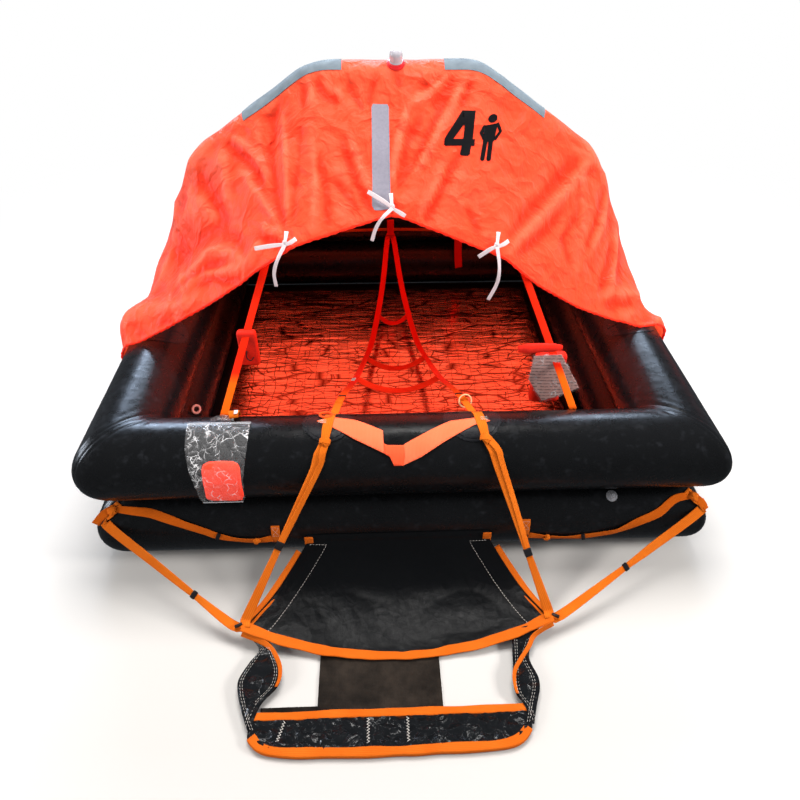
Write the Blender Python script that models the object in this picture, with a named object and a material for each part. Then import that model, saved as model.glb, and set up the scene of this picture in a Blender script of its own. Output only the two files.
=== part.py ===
"""A four-person coastal life raft, inflated and standing on a floor, as an assembly of separate parts.

Metres, +Z up, +Y towards the back of the raft, the boarding ramp and its step laid out in front.
The origin is on the floor, in the middle of the raft's footprint.
"""
import math

import bmesh
import bpy
from mathutils import Vector

# Driving sizes
RAFT_WIDTH = 1.74
RAFT_LENGTH = 1.74
TUBE_RADIUS = 0.11
TUBE_SIDES = 20
GAP = 0.0003

FABRIC = 0.003
WEBBING = 0.002
WEBBING_WIDTH = 0.028
EDGE_LIFT = 0.0033

# Where the raft stands: the middle of the front tube, found so that the footprint is centred
FRONT = -0.5148
HALF_WIDTH = RAFT_WIDTH / 2 - TUBE_RADIUS
HALF_LENGTH = RAFT_LENGTH / 2 - TUBE_RADIUS
MIDDLE = FRONT + HALF_LENGTH
REAR = FRONT + 2 * HALF_LENGTH
LOWER_Z = TUBE_RADIUS
UPPER_Z = 3 * TUBE_RADIUS + GAP

CORNER_STEPS = 4
CORNER_TIGHT = 0.012
CORNER_ROUND = 0.10

# Canopy and arch
ARCH_RADIUS = 0.062
ARCH_SIDES = 12
RIDGE_Z = 1.127
RIDGE_HALF = 0.2385
SHOULDER_X = 0.612
SHOULDER_Z = 0.8835
HEM_ANGLE = 12.0

# Boarding gear
STRAP_TOP_X = 0.198
RAMP_SHIFT = -0.027
RAMP_TOP_HALF = 0.262
RAMP_CORNER_HALF = 0.409
RAMP_CORNER_Y = FRONT - 0.345
RAMP_CORNER_Z = 0.05
RAMP_MIDDLE_Y = FRONT - 0.405
TREAD_SHIFT = -0.054
TREAD_HALF = 0.334
TREAD_BACK = FRONT - 0.545
TREAD_FRONT = FRONT - 0.661
TREAD_HEIGHT = 0.012

APOTHEM_TO_VERTEX = 1 / math.cos(math.pi / TUBE_SIDES)
HALF_STEP = 180.0 / TUBE_SIDES


def clear_scene():
    for item in list(bpy.data.objects):
        bpy.data.objects.remove(item)


def linear(hex_colour):
    channels = [int(hex_colour[i:i + 2], 16) / 255 for i in (0, 2, 4)]
    return [c / 12.92 if c <= 0.04045 else ((c + 0.055) / 1.055) ** 2.4 for c in channels] + [1.0]


def material(name, hex_colour, roughness, metallic=0.0):
    made = bpy.data.materials.get(name)
    if made:
        return made
    made = bpy.data.materials.new(name)
    made.use_nodes = True
    shader = made.node_tree.nodes["Principled BSDF"]
    shader.inputs["Base Color"].default_value = linear(hex_colour)
    shader.inputs["Roughness"].default_value = roughness
    shader.inputs["Metallic"].default_value = metallic
    return made


BLACK_FABRIC = ("coated_tube_fabric", "1B1C1F", 0.42)
CANOPY_FABRIC = ("canopy_fabric", "FF5A2B", 0.6)
ORANGE_WEBBING = ("orange_webbing", "F07E22", 0.75)
RED_WEBBING = ("red_webbing", "E8401C", 0.75)
BLACK_TARPAULIN = ("black_tarpaulin", "17181A", 0.35)
FLOOR_FILM = ("metallised_floor_film", "C9C4BE", 0.25, 1.0)


def add_mesh(name, vertices, faces, look, smooth_angle=35.0):
    mesh = bpy.data.meshes.new(name)
    mesh.from_pydata([tuple(v) for v in vertices], [], faces)
    work = bmesh.new()
    work.from_mesh(mesh)
    bmesh.ops.recalc_face_normals(work, faces=work.faces)
    if work.calc_volume(signed=True) < 0:
        bmesh.ops.reverse_faces(work, faces=work.faces)
    work.to_mesh(mesh)
    work.free()
    mesh.materials.append(material(*look))
    mesh.shade_smooth()
    mesh.set_sharp_from_angle(angle=math.radians(smooth_angle))
    item = bpy.data.objects.new(name, mesh)
    bpy.context.scene.collection.objects.link(item)
    return item


def sweep(name, rings, look, closed=False, smooth_angle=35.0):
    """Joins rings of equal length into one closed body, with end caps unless the rings run round."""
    count = len(rings[0])
    vertices = [v for ring in rings for v in ring]
    faces = []
    pairs = len(rings) if closed else len(rings) - 1
    for i in range(pairs):
        a = i * count
        b = ((i + 1) % len(rings)) * count
        for k in range(count):
            n = (k + 1) % count
            faces.append((a + k, a + n, b + n, b + k))
    if not closed:
        faces.append(tuple(range(count)))
        faces.append(tuple((len(rings) - 1) * count + k for k in range(count)))
    return add_mesh(name, vertices, faces, look, smooth_angle)


def box(name, low, high, look, bevel=0.0, segments=2):
    work = bmesh.new()
    bmesh.ops.create_cube(work, size=1.0)
    size = [high[i] - low[i] for i in range(3)]
    middle = [(high[i] + low[i]) / 2 for i in range(3)]
    bmesh.ops.scale(work, vec=size, verts=work.verts)
    bmesh.ops.translate(work, vec=middle, verts=work.verts)
    if bevel:
        bmesh.ops.bevel(work, geom=list(work.edges), offset=bevel, segments=segments, profile=0.5,
                        affect="EDGES")
    mesh = bpy.data.meshes.new(name)
    work.to_mesh(mesh)
    work.free()
    mesh.materials.append(material(*look))
    mesh.shade_smooth()
    mesh.set_sharp_from_angle(angle=math.radians(35))
    item = bpy.data.objects.new(name, mesh)
    bpy.context.scene.collection.objects.link(item)
    return item


def turned(name, profile, look, base, axis="Z", sides=20):
    """A body of revolution: profile pairs of radius and height, closed at both ends on its axis."""
    rings = []
    for radius, height in profile:
        ring = []
        for k in range(sides):
            turn = 2 * math.pi * k / sides
            across = radius * math.cos(turn)
            along = radius * math.sin(turn)
            if axis == "Z":
                point = (across, along, height)
            elif axis == "Y":
                point = (across, height, along)
            else:
                point = (height, across, along)
            ring.append(Vector(base) + Vector(point))
        rings.append(ring)
    return sweep(name, rings, look)


# Tube outlines

def corner_radius(offset):
    return CORNER_TIGHT + CORNER_ROUND * max(0.0, offset + TUBE_RADIUS) / (2 * TUBE_RADIUS)


def corner_point(offset, sign_x, sign_y, azimuth):
    """A point on one rounded corner of the plan outline, offset outwards from the tube's middle.

    The azimuth runs from 0 degrees at the raft's side to 90 degrees at its front or back.
    """
    radius = corner_radius(offset)
    turn = math.radians(azimuth)
    x = sign_x * (HALF_WIDTH + offset - radius + radius * math.cos(turn))
    y = MIDDLE + sign_y * (HALF_LENGTH + offset - radius + radius * math.sin(turn))
    return x, y


def plan_loop(offset):
    points = []
    for sign_x, sign_y, start, end in ((1, -1, 90, 0), (1, 1, 0, 90), (-1, 1, 90, 0), (-1, -1, 0, 90)):
        for step in range(CORNER_STEPS + 1):
            azimuth = start + (end - start) * step / CORNER_STEPS
            points.append(corner_point(offset, sign_x, sign_y, azimuth))
    return points


def tube_offset(angle, clearance=0.0):
    """Horizontal offset and height on the faceted tube, at an angle above its outer side."""
    nearest = HALF_STEP + 2 * HALF_STEP * math.floor((angle - HALF_STEP) / (2 * HALF_STEP) + 0.5)
    if abs(angle - nearest) < 0.01:
        radius = (TUBE_RADIUS + clearance) * APOTHEM_TO_VERTEX
    else:
        facet = 2 * HALF_STEP * round(angle / (2 * HALF_STEP))
        radius = (TUBE_RADIUS + clearance) / math.cos(math.radians(angle - facet))
    turn = math.radians(angle)
    return radius * math.cos(turn), radius * math.sin(turn)


def tube_ring(name, centre_z, look, clearance=0.0):
    rings = []
    for k in range(TUBE_SIDES):
        offset, height = tube_offset(HALF_STEP + 2 * HALF_STEP * k, clearance)
        rings.append([(x, y, centre_z + height) for x, y in plan_loop(offset)])
    return sweep(name, rings, look, closed=True, smooth_angle=40)


def cut(target, cutter):
    cutter.hide_render = True
    cutter.display_type = "WIRE"
    step = target.modifiers.new("fit_to_tube", "BOOLEAN")
    step.operation = "DIFFERENCE"
    step.object = cutter


# Webbing

def ribbon(name, points, across, look=ORANGE_WEBBING, width=WEBBING_WIDTH, thickness=WEBBING):
    """Flat webbing along points, its width along the vector across, or one such vector a point.

    Both wide faces are split along the same diagonal, so that a twisted strap keeps its thickness.
    """
    points = [Vector(p) for p in points]
    sides = [Vector(a) for a in across] if isinstance(across, list) else [Vector(across)] * len(points)
    widths = width if isinstance(width, list) else [width] * len(points)
    vertices = []
    for i, point in enumerate(points):
        side = sides[i].normalized()
        normals = []
        for a, b in ((i - 1, i), (i, i + 1)):
            if a >= 0 and b < len(points):
                normals.append((points[b] - points[a]).cross(side).normalized())
        normal = (normals[0] + normals[-1]).normalized()
        half = thickness / 2 / max(0.5, normal.dot(normals[0]))
        reach = side * widths[i] / 2
        vertices += [point + reach + normal * half, point - reach + normal * half,
                     point - reach - normal * half, point + reach - normal * half]
    faces = []
    for i in range(len(points) - 1):
        a = 4 * i
        b = a + 4
        faces += [(a, a + 1, b + 1), (a, b + 1, b), (a + 3, b + 2, a + 2), (a + 3, b + 3, b + 2)]
        faces += [(a + 1, a + 2, b + 2, b + 1), (a + 3, a, b, b + 3)]
    last = 4 * (len(points) - 1)
    faces += [(3, 2, 1, 0), (last, last + 1, last + 2, last + 3)]
    return add_mesh(name, vertices, faces, look, smooth_angle=30)


def finer(points, across, first, steps):
    """Splits the run after point number first into steps, turning the webbing evenly along it."""
    points = [Vector(p) for p in points]
    across = [Vector(a).normalized() for a in across]
    extra_points = [points[first].lerp(points[first + 1], k / steps) for k in range(1, steps)]
    extra_across = [across[first].slerp(across[first + 1], k / steps) for k in range(1, steps)]
    return (points[:first + 1] + extra_points + points[first + 1:],
            across[:first + 1] + extra_across + across[first + 1:])


def sheet_solid(name, grid, look, thickness):
    """A closed solid from a grid of top points, given its thickness straight down."""
    rows = len(grid)
    columns = len(grid[0])
    drop = Vector((0, 0, -thickness))
    top = [Vector(p) for row in grid for p in row]
    vertices = top + [p + drop for p in top]
    base = rows * columns
    faces = []
    for r in range(rows - 1):
        for c in range(columns - 1):
            a = r * columns + c
            faces.append((a, a + 1, a + columns + 1, a + columns))
            faces.append((base + a, base + a + columns, base + a + columns + 1, base + a + 1))
    rim = [c for c in range(columns)]
    rim += [r * columns + columns - 1 for r in range(1, rows)]
    rim += [(rows - 1) * columns + c for c in range(columns - 2, -1, -1)]
    rim += [r * columns for r in range(rows - 2, 0, -1)]
    for i, a in enumerate(rim):
        b = rim[(i + 1) % len(rim)]
        faces.append((a, b, base + b, base + a))
    return add_mesh(name, vertices, faces, look)


def thin_shell(name, grid, look, thickness):
    """A fabric skin: a grid of inner points, thickened outwards by a Solidify modifier.

    The triangles' diagonals are mirrored about the middle column, along the tube's own facets.
    """
    rows = len(grid)
    columns = len(grid[0])
    vertices = [p for row in grid for p in row]
    faces = []
    for r in range(rows - 1):
        for c in range(columns - 1):
            a = r * columns + c
            b = a + columns
            if c < columns // 2:
                faces += [(a, a + 1, b), (a + 1, b + 1, b)]
            else:
                faces += [(a, a + 1, b + 1), (a, b + 1, b)]
    mesh = bpy.data.meshes.new(name)
    mesh.from_pydata([tuple(v) for v in vertices], [], faces)
    work = bmesh.new()
    work.from_mesh(mesh)
    centre = Vector((0, MIDDLE, 0.3))
    work.normal_update()
    outward = sum((f.normal.dot(f.calc_center_median() - centre) * f.calc_area() for f in work.faces))
    if outward < 0:
        bmesh.ops.reverse_faces(work, faces=work.faces)
    work.to_mesh(mesh)
    work.free()
    mesh.materials.append(material(*look))
    mesh.shade_smooth()
    item = bpy.data.objects.new(name, mesh)
    bpy.context.scene.collection.objects.link(item)
    step = item.modifiers.new("cloth_thickness", "SOLIDIFY")
    step.thickness = thickness
    step.offset = 1.0
    return item


# Tubes and floor

def make_tubes():
    tube_ring("lower_tube", LOWER_Z, BLACK_FABRIC)
    tube_ring("upper_tube", UPPER_Z, BLACK_FABRIC)


FLOOR_TOP = 0.024
MAT_TOP = 0.040
MAT_MARGIN = 0.030


def floor_reach(height):
    """How far the lower tube's inner face stands in from its middle at a height above the floor."""
    below = (LOWER_Z - height) / TUBE_RADIUS
    angle = math.degrees(math.asin(min(1.0, below)))
    facet = 2 * HALF_STEP * round(angle / (2 * HALF_STEP))
    turn = math.radians(facet)
    return (TUBE_RADIUS - (LOWER_Z - height) * math.sin(turn)) / math.cos(turn)


def rounded_plate(name, half_x, half_y, radius, bottom, top, look):
    outline = []
    for sign_x, sign_y, start in ((1, -1, 270), (1, 1, 0), (-1, 1, 90), (-1, -1, 180)):
        for step in range(CORNER_STEPS + 1):
            turn = math.radians(start + 90 * step / CORNER_STEPS)
            outline.append((sign_x * (half_x - radius) + radius * math.cos(turn),
                            MIDDLE + sign_y * (half_y - radius) + radius * math.sin(turn)))
    rings = [[(x, y, z) for x, y in outline] for z in (bottom, top)]
    return sweep(name, rings, look)


def make_floor():
    reach = floor_reach(FLOOR_TOP) + GAP
    rounded_plate("raft_floor", HALF_WIDTH - reach, HALF_LENGTH - reach, 0.03, FLOOR_TOP - FABRIC, FLOOR_TOP,
                  BLACK_TARPAULIN)
    inner = HALF_WIDTH - TUBE_RADIUS - MAT_MARGIN
    rounded_plate("floor_mat", inner, inner, 0.02, FLOOR_TOP + GAP, MAT_TOP, FLOOR_FILM)
    pocket = 0.28
    pocket_top = FLOOR_TOP - FABRIC - GAP
    for index, (sx, sy) in enumerate(((-1, -1), (1, -1), (1, 1), (-1, 1)), start=1):
        x = sx * 0.42
        y = MIDDLE + sy * 0.42
        box(f"ballast_pocket_{index}", (x - pocket / 2, y - pocket / 2, pocket_top - 0.014),
            (x + pocket / 2, y + pocket / 2, pocket_top), BLACK_TARPAULIN, bevel=0.004)
    box("righting_strap", (-0.025, FRONT + 0.09, pocket_top - WEBBING), (0.025, REAR - 0.09, pocket_top),
        ORANGE_WEBBING)


# Arch

def offset_line(points, distance):
    """The polyline moved sideways by distance, mitred where it bends. Points are (x, z) pairs."""
    moved = []
    for i, point in enumerate(points):
        normals = []
        for a, b in ((i - 1, i), (i, i + 1)):
            if a >= 0 and b < len(points):
                run = Vector(points[b]) - Vector(points[a])
                normals.append(Vector((-run.y, run.x)).normalized())
        mean = (normals[0] + normals[-1]).normalized()
        moved.append(Vector(point) + mean * distance / mean.dot(normals[0]))
    return moved


def hem_side(angle):
    """A point of the canopy's inner face on the outer side of the upper tube, as x and z."""
    offset, height = tube_offset(angle, GAP)
    return HALF_WIDTH + offset, UPPER_Z + height


def canopy_profile():
    """Inner face of the canopy over the arch, from the right tube to the left one, as (x, z)."""
    half = [hem_side(3 * 2 * HALF_STEP - HALF_STEP), (SHOULDER_X, SHOULDER_Z), (RIDGE_HALF, RIDGE_Z)]
    return half + [(-x, z) for x, z in reversed(half)]


def arch_path():
    return offset_line(canopy_profile(), ARCH_RADIUS + GAP)


def bend_points(path, trim, steps):
    """Cuts each inner corner of a path back by trim and puts a short curve in its place."""
    points = [Vector(path[0])]
    for i in range(1, len(path) - 1):
        corner = Vector(path[i])
        before = corner + (Vector(path[i - 1]) - corner).normalized() * trim
        after = corner + (Vector(path[i + 1]) - corner).normalized() * trim
        for step in range(steps + 1):
            t = step / steps
            points.append(before * (1 - t) ** 2 + corner * 2 * t * (1 - t) + after * t ** 2)
    points.append(Vector(path[-1]))
    return points


def make_arch():
    path = bend_points(arch_path(), 0.05, 3)
    foot_drop = 0.04
    path[0] = path[0] + (path[0] - path[1]).normalized() * foot_drop
    path[-1] = path[-1] + (path[-1] - path[-2]).normalized() * foot_drop
    rings = []
    for i, point in enumerate(path):
        before = path[max(0, i - 1)]
        after = path[min(len(path) - 1, i + 1)]
        first = (point - before).normalized() if i else (after - point).normalized()
        second = (after - point).normalized() if i < len(path) - 1 else first
        along = (first + second).normalized()
        side = Vector((-along.y, along.x))
        stretch = 1 / max(0.5, along.dot(first))
        ring = []
        for k in range(ARCH_SIDES):
            turn = math.radians(15 + 30 * k)
            radius = ARCH_RADIUS / math.cos(math.radians(15))
            out = side * (radius * math.cos(turn) * stretch)
            ring.append((point.x - out.x, MIDDLE + radius * math.sin(turn), point.y - out.y))
        rings.append(ring)
    arch = sweep("arch_tube", rings, BLACK_FABRIC, smooth_angle=50)
    cut(arch, tube_ring("arch_foot_cutter", UPPER_Z, BLACK_FABRIC, clearance=GAP))


# Canopy: stations run from hem to hem over the arch, rows run away from the arch

def wrap_angles():
    return (HEM_ANGLE, 3 * HALF_STEP, 5 * HALF_STEP)


def ridge_stations():
    """Inner points of the canopy in the arch's plane with the outward direction at each."""
    right = []
    for angle in wrap_angles():
        x, z = hem_side(angle)
        right.append((Vector((x, z)), None))
    foot, shoulder, top = [Vector(p) for p in canopy_profile()[:3]]
    leg_out = Vector((shoulder.y - foot.y, foot.x - shoulder.x)).normalized() * -1
    leg_out = Vector((abs(leg_out.x), abs(leg_out.y)))
    slope_out = Vector((abs(top.y - shoulder.y), abs(shoulder.x - top.x))).normalized()
    up = Vector((0, 1))

    def mitre(a, b):
        mean = (a + b).normalized()
        return mean / mean.dot(a)

    right.append((foot.lerp(shoulder, 0.5), leg_out))
    right.append((shoulder, mitre(leg_out, slope_out)))
    right.append((shoulder.lerp(top, 0.5), slope_out))
    right.append((top, mitre(slope_out, up)))
    centre = [(Vector((0, top.y)), up)]
    left = [(Vector((-p.x, p.y)), Vector((-n.x, n.y)) if n else None) for p, n in reversed(right)]
    return right + centre + left


def ridge_point(station, turn, sign):
    """A canopy point over the arch, turned round the arch's tube from its top, ahead or behind."""
    point, outward = station
    wrap = (ARCH_RADIUS + GAP) / math.cos(math.radians(15))
    y = MIDDLE + sign * wrap * math.sin(math.radians(turn))
    if outward is None or turn == 0:
        return Vector((point.x, y, point.y))
    sink = (ARCH_RADIUS + GAP) - wrap * math.cos(math.radians(turn))
    return Vector((point.x - outward.x * sink, y, point.y - outward.y * sink))


def side_point(level, y, sign_x):
    x, z = hem_side(wrap_angles()[level])
    return Vector((sign_x * x, y, z))


SEAM_HALF = 0.0015
ROW_TURNS = (15, 45)
REAR_BETWEEN = (0.3, 0.6, 0.8, 0.9)
REAR_ANGLES = (HEM_ANGLE, 3 * HALF_STEP, 5 * HALF_STEP, 7 * HALF_STEP)
REAR_X = {6: 0.34, 7: 0.0}
LEG_BULGE = 0.10


def rear_corner_point(level, sign, turns):
    """A point over a back corner of the upper tube, turned from its middle towards the back."""
    offset, height = tube_offset(REAR_ANGLES[level], GAP)
    azimuth = max(0.0, min(90.0, 45 + 22.5 * turns))
    x, y = corner_point(offset, sign, 1, azimuth)
    x -= sign * 0.05 * max(0, turns - 2)
    y -= 0.05 * max(0, -turns - 2)
    return Vector((x, y, UPPER_Z + height))


def rear_row(level, count):
    last = count - 1
    row = []
    for i in range(count):
        mirrored = min(i, last - i)
        sign = 1 if i <= last // 2 else -1
        if mirrored in REAR_X:
            offset, height = tube_offset(REAR_ANGLES[level], GAP)
            row.append(Vector((sign * REAR_X[mirrored], REAR + offset, UPPER_Z + height)))
        elif mirrored >= level:
            row.append(rear_corner_point(level, sign, mirrored - level))
        else:
            row.append(rear_corner_point(mirrored, sign, mirrored - level))
    return row


def make_canopy_rear():
    stations = ridge_stations()
    count = len(stations)
    last = count - 1
    turned_rows = [[ridge_point(s, turn, 1) for s in stations] for turn in ROW_TURNS]
    rear_rows = [rear_row(level, count) for level in (3, 2, 1, 0)]
    side_rows = len(ROW_TURNS) + len(REAR_BETWEEN)
    start = MIDDLE + SEAM_HALF
    grid = [[Vector((p.x, start, p.y)) for p, _ in stations]]
    for r in range(side_rows):
        row = []
        for i in range(count):
            mirrored = min(i, last - i)
            sign = 1 if i <= last // 2 else -1
            end = rear_rows[0][i]
            if mirrored <= 2:
                side_end = rear_corner_point(mirrored, sign, mirrored - 4)
                row.append(side_point(mirrored, start + (side_end.y - start) * (r + 1) / side_rows, sign))
            elif r < len(ROW_TURNS):
                row.append(turned_rows[r][i])
            elif mirrored == 3 and r >= side_rows - 2:
                row.append(rear_corner_point(3, sign, r - side_rows))
            else:
                t = REAR_BETWEEN[r - len(ROW_TURNS)]
                lift = LEG_BULGE * t * (1 - t) if mirrored == 3 else 0.0
                row.append(turned_rows[-1][i].lerp(end, t) + Vector((0, 0, lift)))
        grid.append(row)
    thin_shell("canopy_rear", grid + rear_rows, CANOPY_FABRIC, FABRIC)


FRONT_HEM_Y = FRONT + 0.45
FRONT_EDGE = ((0.745, 0.405, 0.478), (0.54, 0.365, 0.585), (0.39, 0.34, 0.685), (0.285, 0.335, 0.772),
              (0.0, 0.41, 0.845))
FRONT_BETWEEN = (0.35, 0.7)


def make_canopy_front():
    stations = ridge_stations()
    last = len(stations) - 1
    edge = []
    for i in range(last + 1):
        mirrored = min(i, last - i)
        sign = 1 if i <= last // 2 else -1
        if mirrored <= 2:
            edge.append(side_point(mirrored, FRONT_HEM_Y - 0.01 * mirrored, sign))
        else:
            x, y, z = FRONT_EDGE[mirrored - 3]
            edge.append(Vector((sign * x, FRONT + y, z)))
    grid = [[Vector((p.x, MIDDLE - SEAM_HALF, p.y)) for p, _ in stations]]
    turned_rows = [[ridge_point(s, turn, -1) for s in stations] for turn in ROW_TURNS]
    side_rows = len(ROW_TURNS) + len(FRONT_BETWEEN)
    for r in range(side_rows):
        row = []
        for i in range(last + 1):
            mirrored = min(i, last - i)
            sign = 1 if i <= last // 2 else -1
            if mirrored <= 2:
                t = (r + 1) / (side_rows + 1)
                start = MIDDLE - SEAM_HALF
                row.append(side_point(mirrored, start + (edge[i].y - start) * t, sign))
            elif r < len(ROW_TURNS):
                row.append(turned_rows[r][i])
            else:
                t = FRONT_BETWEEN[r - len(ROW_TURNS)]
                row.append(turned_rows[-1][i].lerp(edge[i], t))
        grid.append(row)
    grid.append(edge)
    thin_shell("canopy_front", grid, CANOPY_FABRIC, FABRIC)


LAMP_SEAT_Z = RIDGE_Z + FABRIC + GAP


def make_lamp():
    turned("lamp_base", [(0.026, 0.0), (0.026, 0.008), (0.022, 0.012)], ("lamp_ring_red", "D8232A", 0.4),
           (0, MIDDLE, LAMP_SEAT_Z))
    dome = [(0.018, 0.0), (0.018, 0.014), (0.016, 0.024), (0.011, 0.032), (0.004, 0.036)]
    turned("lamp_dome", dome, ("lamp_lens_white", "F2F2EE", 0.3), (0, MIDDLE, LAMP_SEAT_Z + 0.012 + GAP))


# Webbing that lies on the tubes

def front_tube_point(x, angle, centre_z, clearance, centre_y=FRONT, facing=-1):
    """A point over the front tube, at an angle above its outer side."""
    offset, height = tube_offset(angle, clearance)
    return Vector((x, centre_y + facing * offset, centre_z + height))


HANDLE_ROWS = ((99, -0.231, -0.127, 0.118, 0.227), (81, -0.186, -0.070, 0.067, 0.175),
               (63, -0.119, -0.052, 0.005, 0.110), (54, -0.093, -0.051, -0.007, 0.077),
               (45, -0.066, -0.046, -0.012, 0.045), (27, -0.038, -0.032, -0.014, -0.008))
HANDLE_PATCH_ROW = 3


def make_boarding_handle():
    """The wide V-shaped hand strap on the front tube: two arms that meet in a small patch."""
    work = bmesh.new()
    rows = []
    for angle, *edges in HANDLE_ROWS:
        rows.append([work.verts.new(front_tube_point(x, angle, UPPER_Z, GAP)) for x in edges])
    for r in range(len(rows) - 1):
        for c in (0, 1, 2):
            if c == 1 and r < HANDLE_PATCH_ROW:
                continue
            work.faces.new((rows[r][c], rows[r + 1][c], rows[r + 1][c + 1], rows[r][c + 1]))
    mesh = bpy.data.meshes.new("boarding_handle")
    work.to_mesh(mesh)
    work.free()
    mesh.materials.append(material("salmon_handle_webbing", "FF7048", 0.7))
    item = bpy.data.objects.new("boarding_handle", mesh)
    bpy.context.scene.collection.objects.link(item)
    step = item.modifiers.new("webbing_thickness", "SOLIDIFY")
    step.thickness = FABRIC
    step.offset = 1.0


def ramp_corner(sign):
    return Vector((RAMP_SHIFT + sign * RAMP_CORNER_HALF, RAMP_CORNER_Y, RAMP_CORNER_Z))


def make_front_straps():
    """The ramp's two upper straps, over the handle's ends and the front tube, down to its corners."""
    lift = FABRIC + 2 * GAP + WEBBING / 2
    for side, sign in (("left", -1), ("right", 1)):
        corner = ramp_corner(sign)
        end_x = corner.x - sign * 0.012
        points = []
        for k, angle in enumerate((99, 81, 63, 45, 27)):
            points.append(front_tube_point(sign * (STRAP_TOP_X + 0.009 * k), angle, UPPER_Z, lift))
        end_z = corner.z + GAP + WEBBING / 2
        points.append(Vector((end_x, corner.y + 0.018, end_z)))
        points.append(Vector((end_x, corner.y + 0.001, end_z)))
        ribbon(f"front_strap_{side}", points, (1, 0, 0))


def make_corner_straps():
    lift = GAP + WEBBING / 2
    for side, sign in (("left", -1), ("right", 1)):
        corner = ramp_corner(sign)
        offset, height = tube_offset(0, lift)
        x0, y0 = corner_point(offset, sign, -1, 45)
        x1, y1 = corner_point(offset, sign, -1, 67.5)
        start = Vector((x0, y0, LOWER_Z + 0.012))
        leave = Vector((x1, y1, LOWER_Z + 0.006))
        under = corner.z - FABRIC - lift
        end_x = corner.x - sign * 0.012
        low = leave.lerp(Vector((end_x, corner.y, under)), 0.6) + Vector((0, 0, -0.014))
        end_y = corner.y + 0.014
        turn_in = Vector((corner.x + sign * 0.02, end_y, under))
        points = [start, leave, low, turn_in, Vector((end_x, end_y, under))]
        across = [Vector((0, 0, 1)), Vector((0, 0, 1)), Vector((0.0, 0.7, 0.7)), Vector((0, 1, 0)),
                  Vector((0, 1, 0))]
        points, across = finer(points, across, 2, 4)
        points, across = finer(points, across, 1, 5)
        ribbon(f"corner_strap_{side}", points, across, width=0.024)


# Ramp, step and the web between them

def make_ramp():
    columns = [-1.0, -0.95, -0.8, -0.5, 0.0, 0.5, 0.8, 0.95, 1.0]
    face_y = FRONT - TUBE_RADIUS - GAP - FABRIC
    grid = []
    for row in range(6):
        line = []
        for u in columns:
            at_corner = abs(u) >= 0.95
            bow = max(0.0, 1 - (u / 0.95) ** 2)
            edge_y = RAMP_CORNER_Y + (RAMP_MIDDLE_Y - RAMP_CORNER_Y) * bow
            floor_z = EDGE_LIFT + FABRIC
            rise = RAMP_CORNER_Z - floor_z
            edge_z = RAMP_CORNER_Z if at_corner else floor_z + rise * 0.9 * abs(u) ** 2.5
            inner_z = RAMP_CORNER_Z if at_corner else floor_z + rise * 0.7 * abs(u) ** 2.5
            top_x = RAMP_SHIFT / 2 + u * RAMP_TOP_HALF
            edge_x = RAMP_SHIFT + u * RAMP_CORNER_HALF
            route = ((0.0, face_y + FABRIC, 0.128), (0.0, face_y, 0.126), (0.06, face_y - 0.012, 0.094),
                     (0.5, FRONT - 0.23, 0.03 + 0.02 * u * u), (0.85, edge_y + 0.034, inner_z),
                     (1.0, edge_y, edge_z))
            t, y, z = route[row]
            line.append(Vector((top_x + (edge_x - top_x) * t, y, z)))
        grid.append(line)
    sheet_solid("boarding_ramp", grid, BLACK_TARPAULIN, FABRIC)


def make_step():
    box("step_tread", (TREAD_SHIFT - TREAD_HALF, TREAD_FRONT, EDGE_LIFT),
        (TREAD_SHIFT + TREAD_HALF, TREAD_BACK, EDGE_LIFT + TREAD_HEIGHT), BLACK_TARPAULIN, bevel=0.004)
    box("step_web", (-0.229, TREAD_BACK - 0.03, 0.0008), (0.075, FRONT - 0.375, 0.0028),
        ("brown_black_web", "2B2622", 0.8))
    on_tread = EDGE_LIFT + TREAD_HEIGHT + GAP + WEBBING / 2
    for side, sign in (("left", -1), ("right", 1)):
        corner = ramp_corner(sign)
        top_x = corner.x
        end_x = TREAD_SHIFT + sign * (TREAD_HALF - 0.042)
        points = [Vector((top_x, corner.y - GAP - 0.0005, corner.z - FABRIC / 2)),
                  Vector((top_x, corner.y - 0.012, corner.z - 0.004)),
                  Vector((top_x - sign * 0.02, corner.y - 0.06, 0.026)),
                  Vector((top_x - sign * 0.035, corner.y - 0.12, 0.019)),
                  Vector((end_x, TREAD_BACK + 0.012, on_tread + 0.001)),
                  Vector((end_x, TREAD_BACK - 0.006, on_tread)),
                  Vector((end_x, TREAD_BACK - 0.045, on_tread))]
        widths = [0.020, 0.022, 0.055, 0.078, 0.08, 0.08, 0.08]
        ribbon(f"step_side_{side}", points, (1, 0, 0), look=BLACK_TARPAULIN, width=widths)


# Inner ladder: slack webbing from the back tube, over the floor, to the front tube

LADDER_PATH = ((1.395, 0.262, 0.016), (1.208, 0.165, 0.039), (1.026, 0.115, 0.065), (0.847, 0.102, 0.091),
               (0.698, 0.138, 0.113), (0.479, 0.214, 0.144), (0.262, 0.322, 0.176))
RUNG_PLACES = (5, 4, 2)


def ladder_points(sign):
    lift = GAP + WEBBING / 2
    points = [Vector((sign * half, FRONT + y, z)) for y, z, half in LADDER_PATH]
    points.append(front_tube_point(sign * 0.190, 135, UPPER_Z, lift))
    points.append(front_tube_point(sign * 0.194, 117, UPPER_Z, lift))
    points.append(front_tube_point(sign * 0.196, 106, UPPER_Z, lift))
    return points


def ladder_half_at(y):
    for (y0, _, half0), (y1, _, half1) in zip(LADDER_PATH, LADDER_PATH[1:]):
        if y1 <= y <= y0:
            return half0 + (half1 - half0) * (y0 - y) / (y0 - y1)
    return LADDER_PATH[-1][2]


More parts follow.
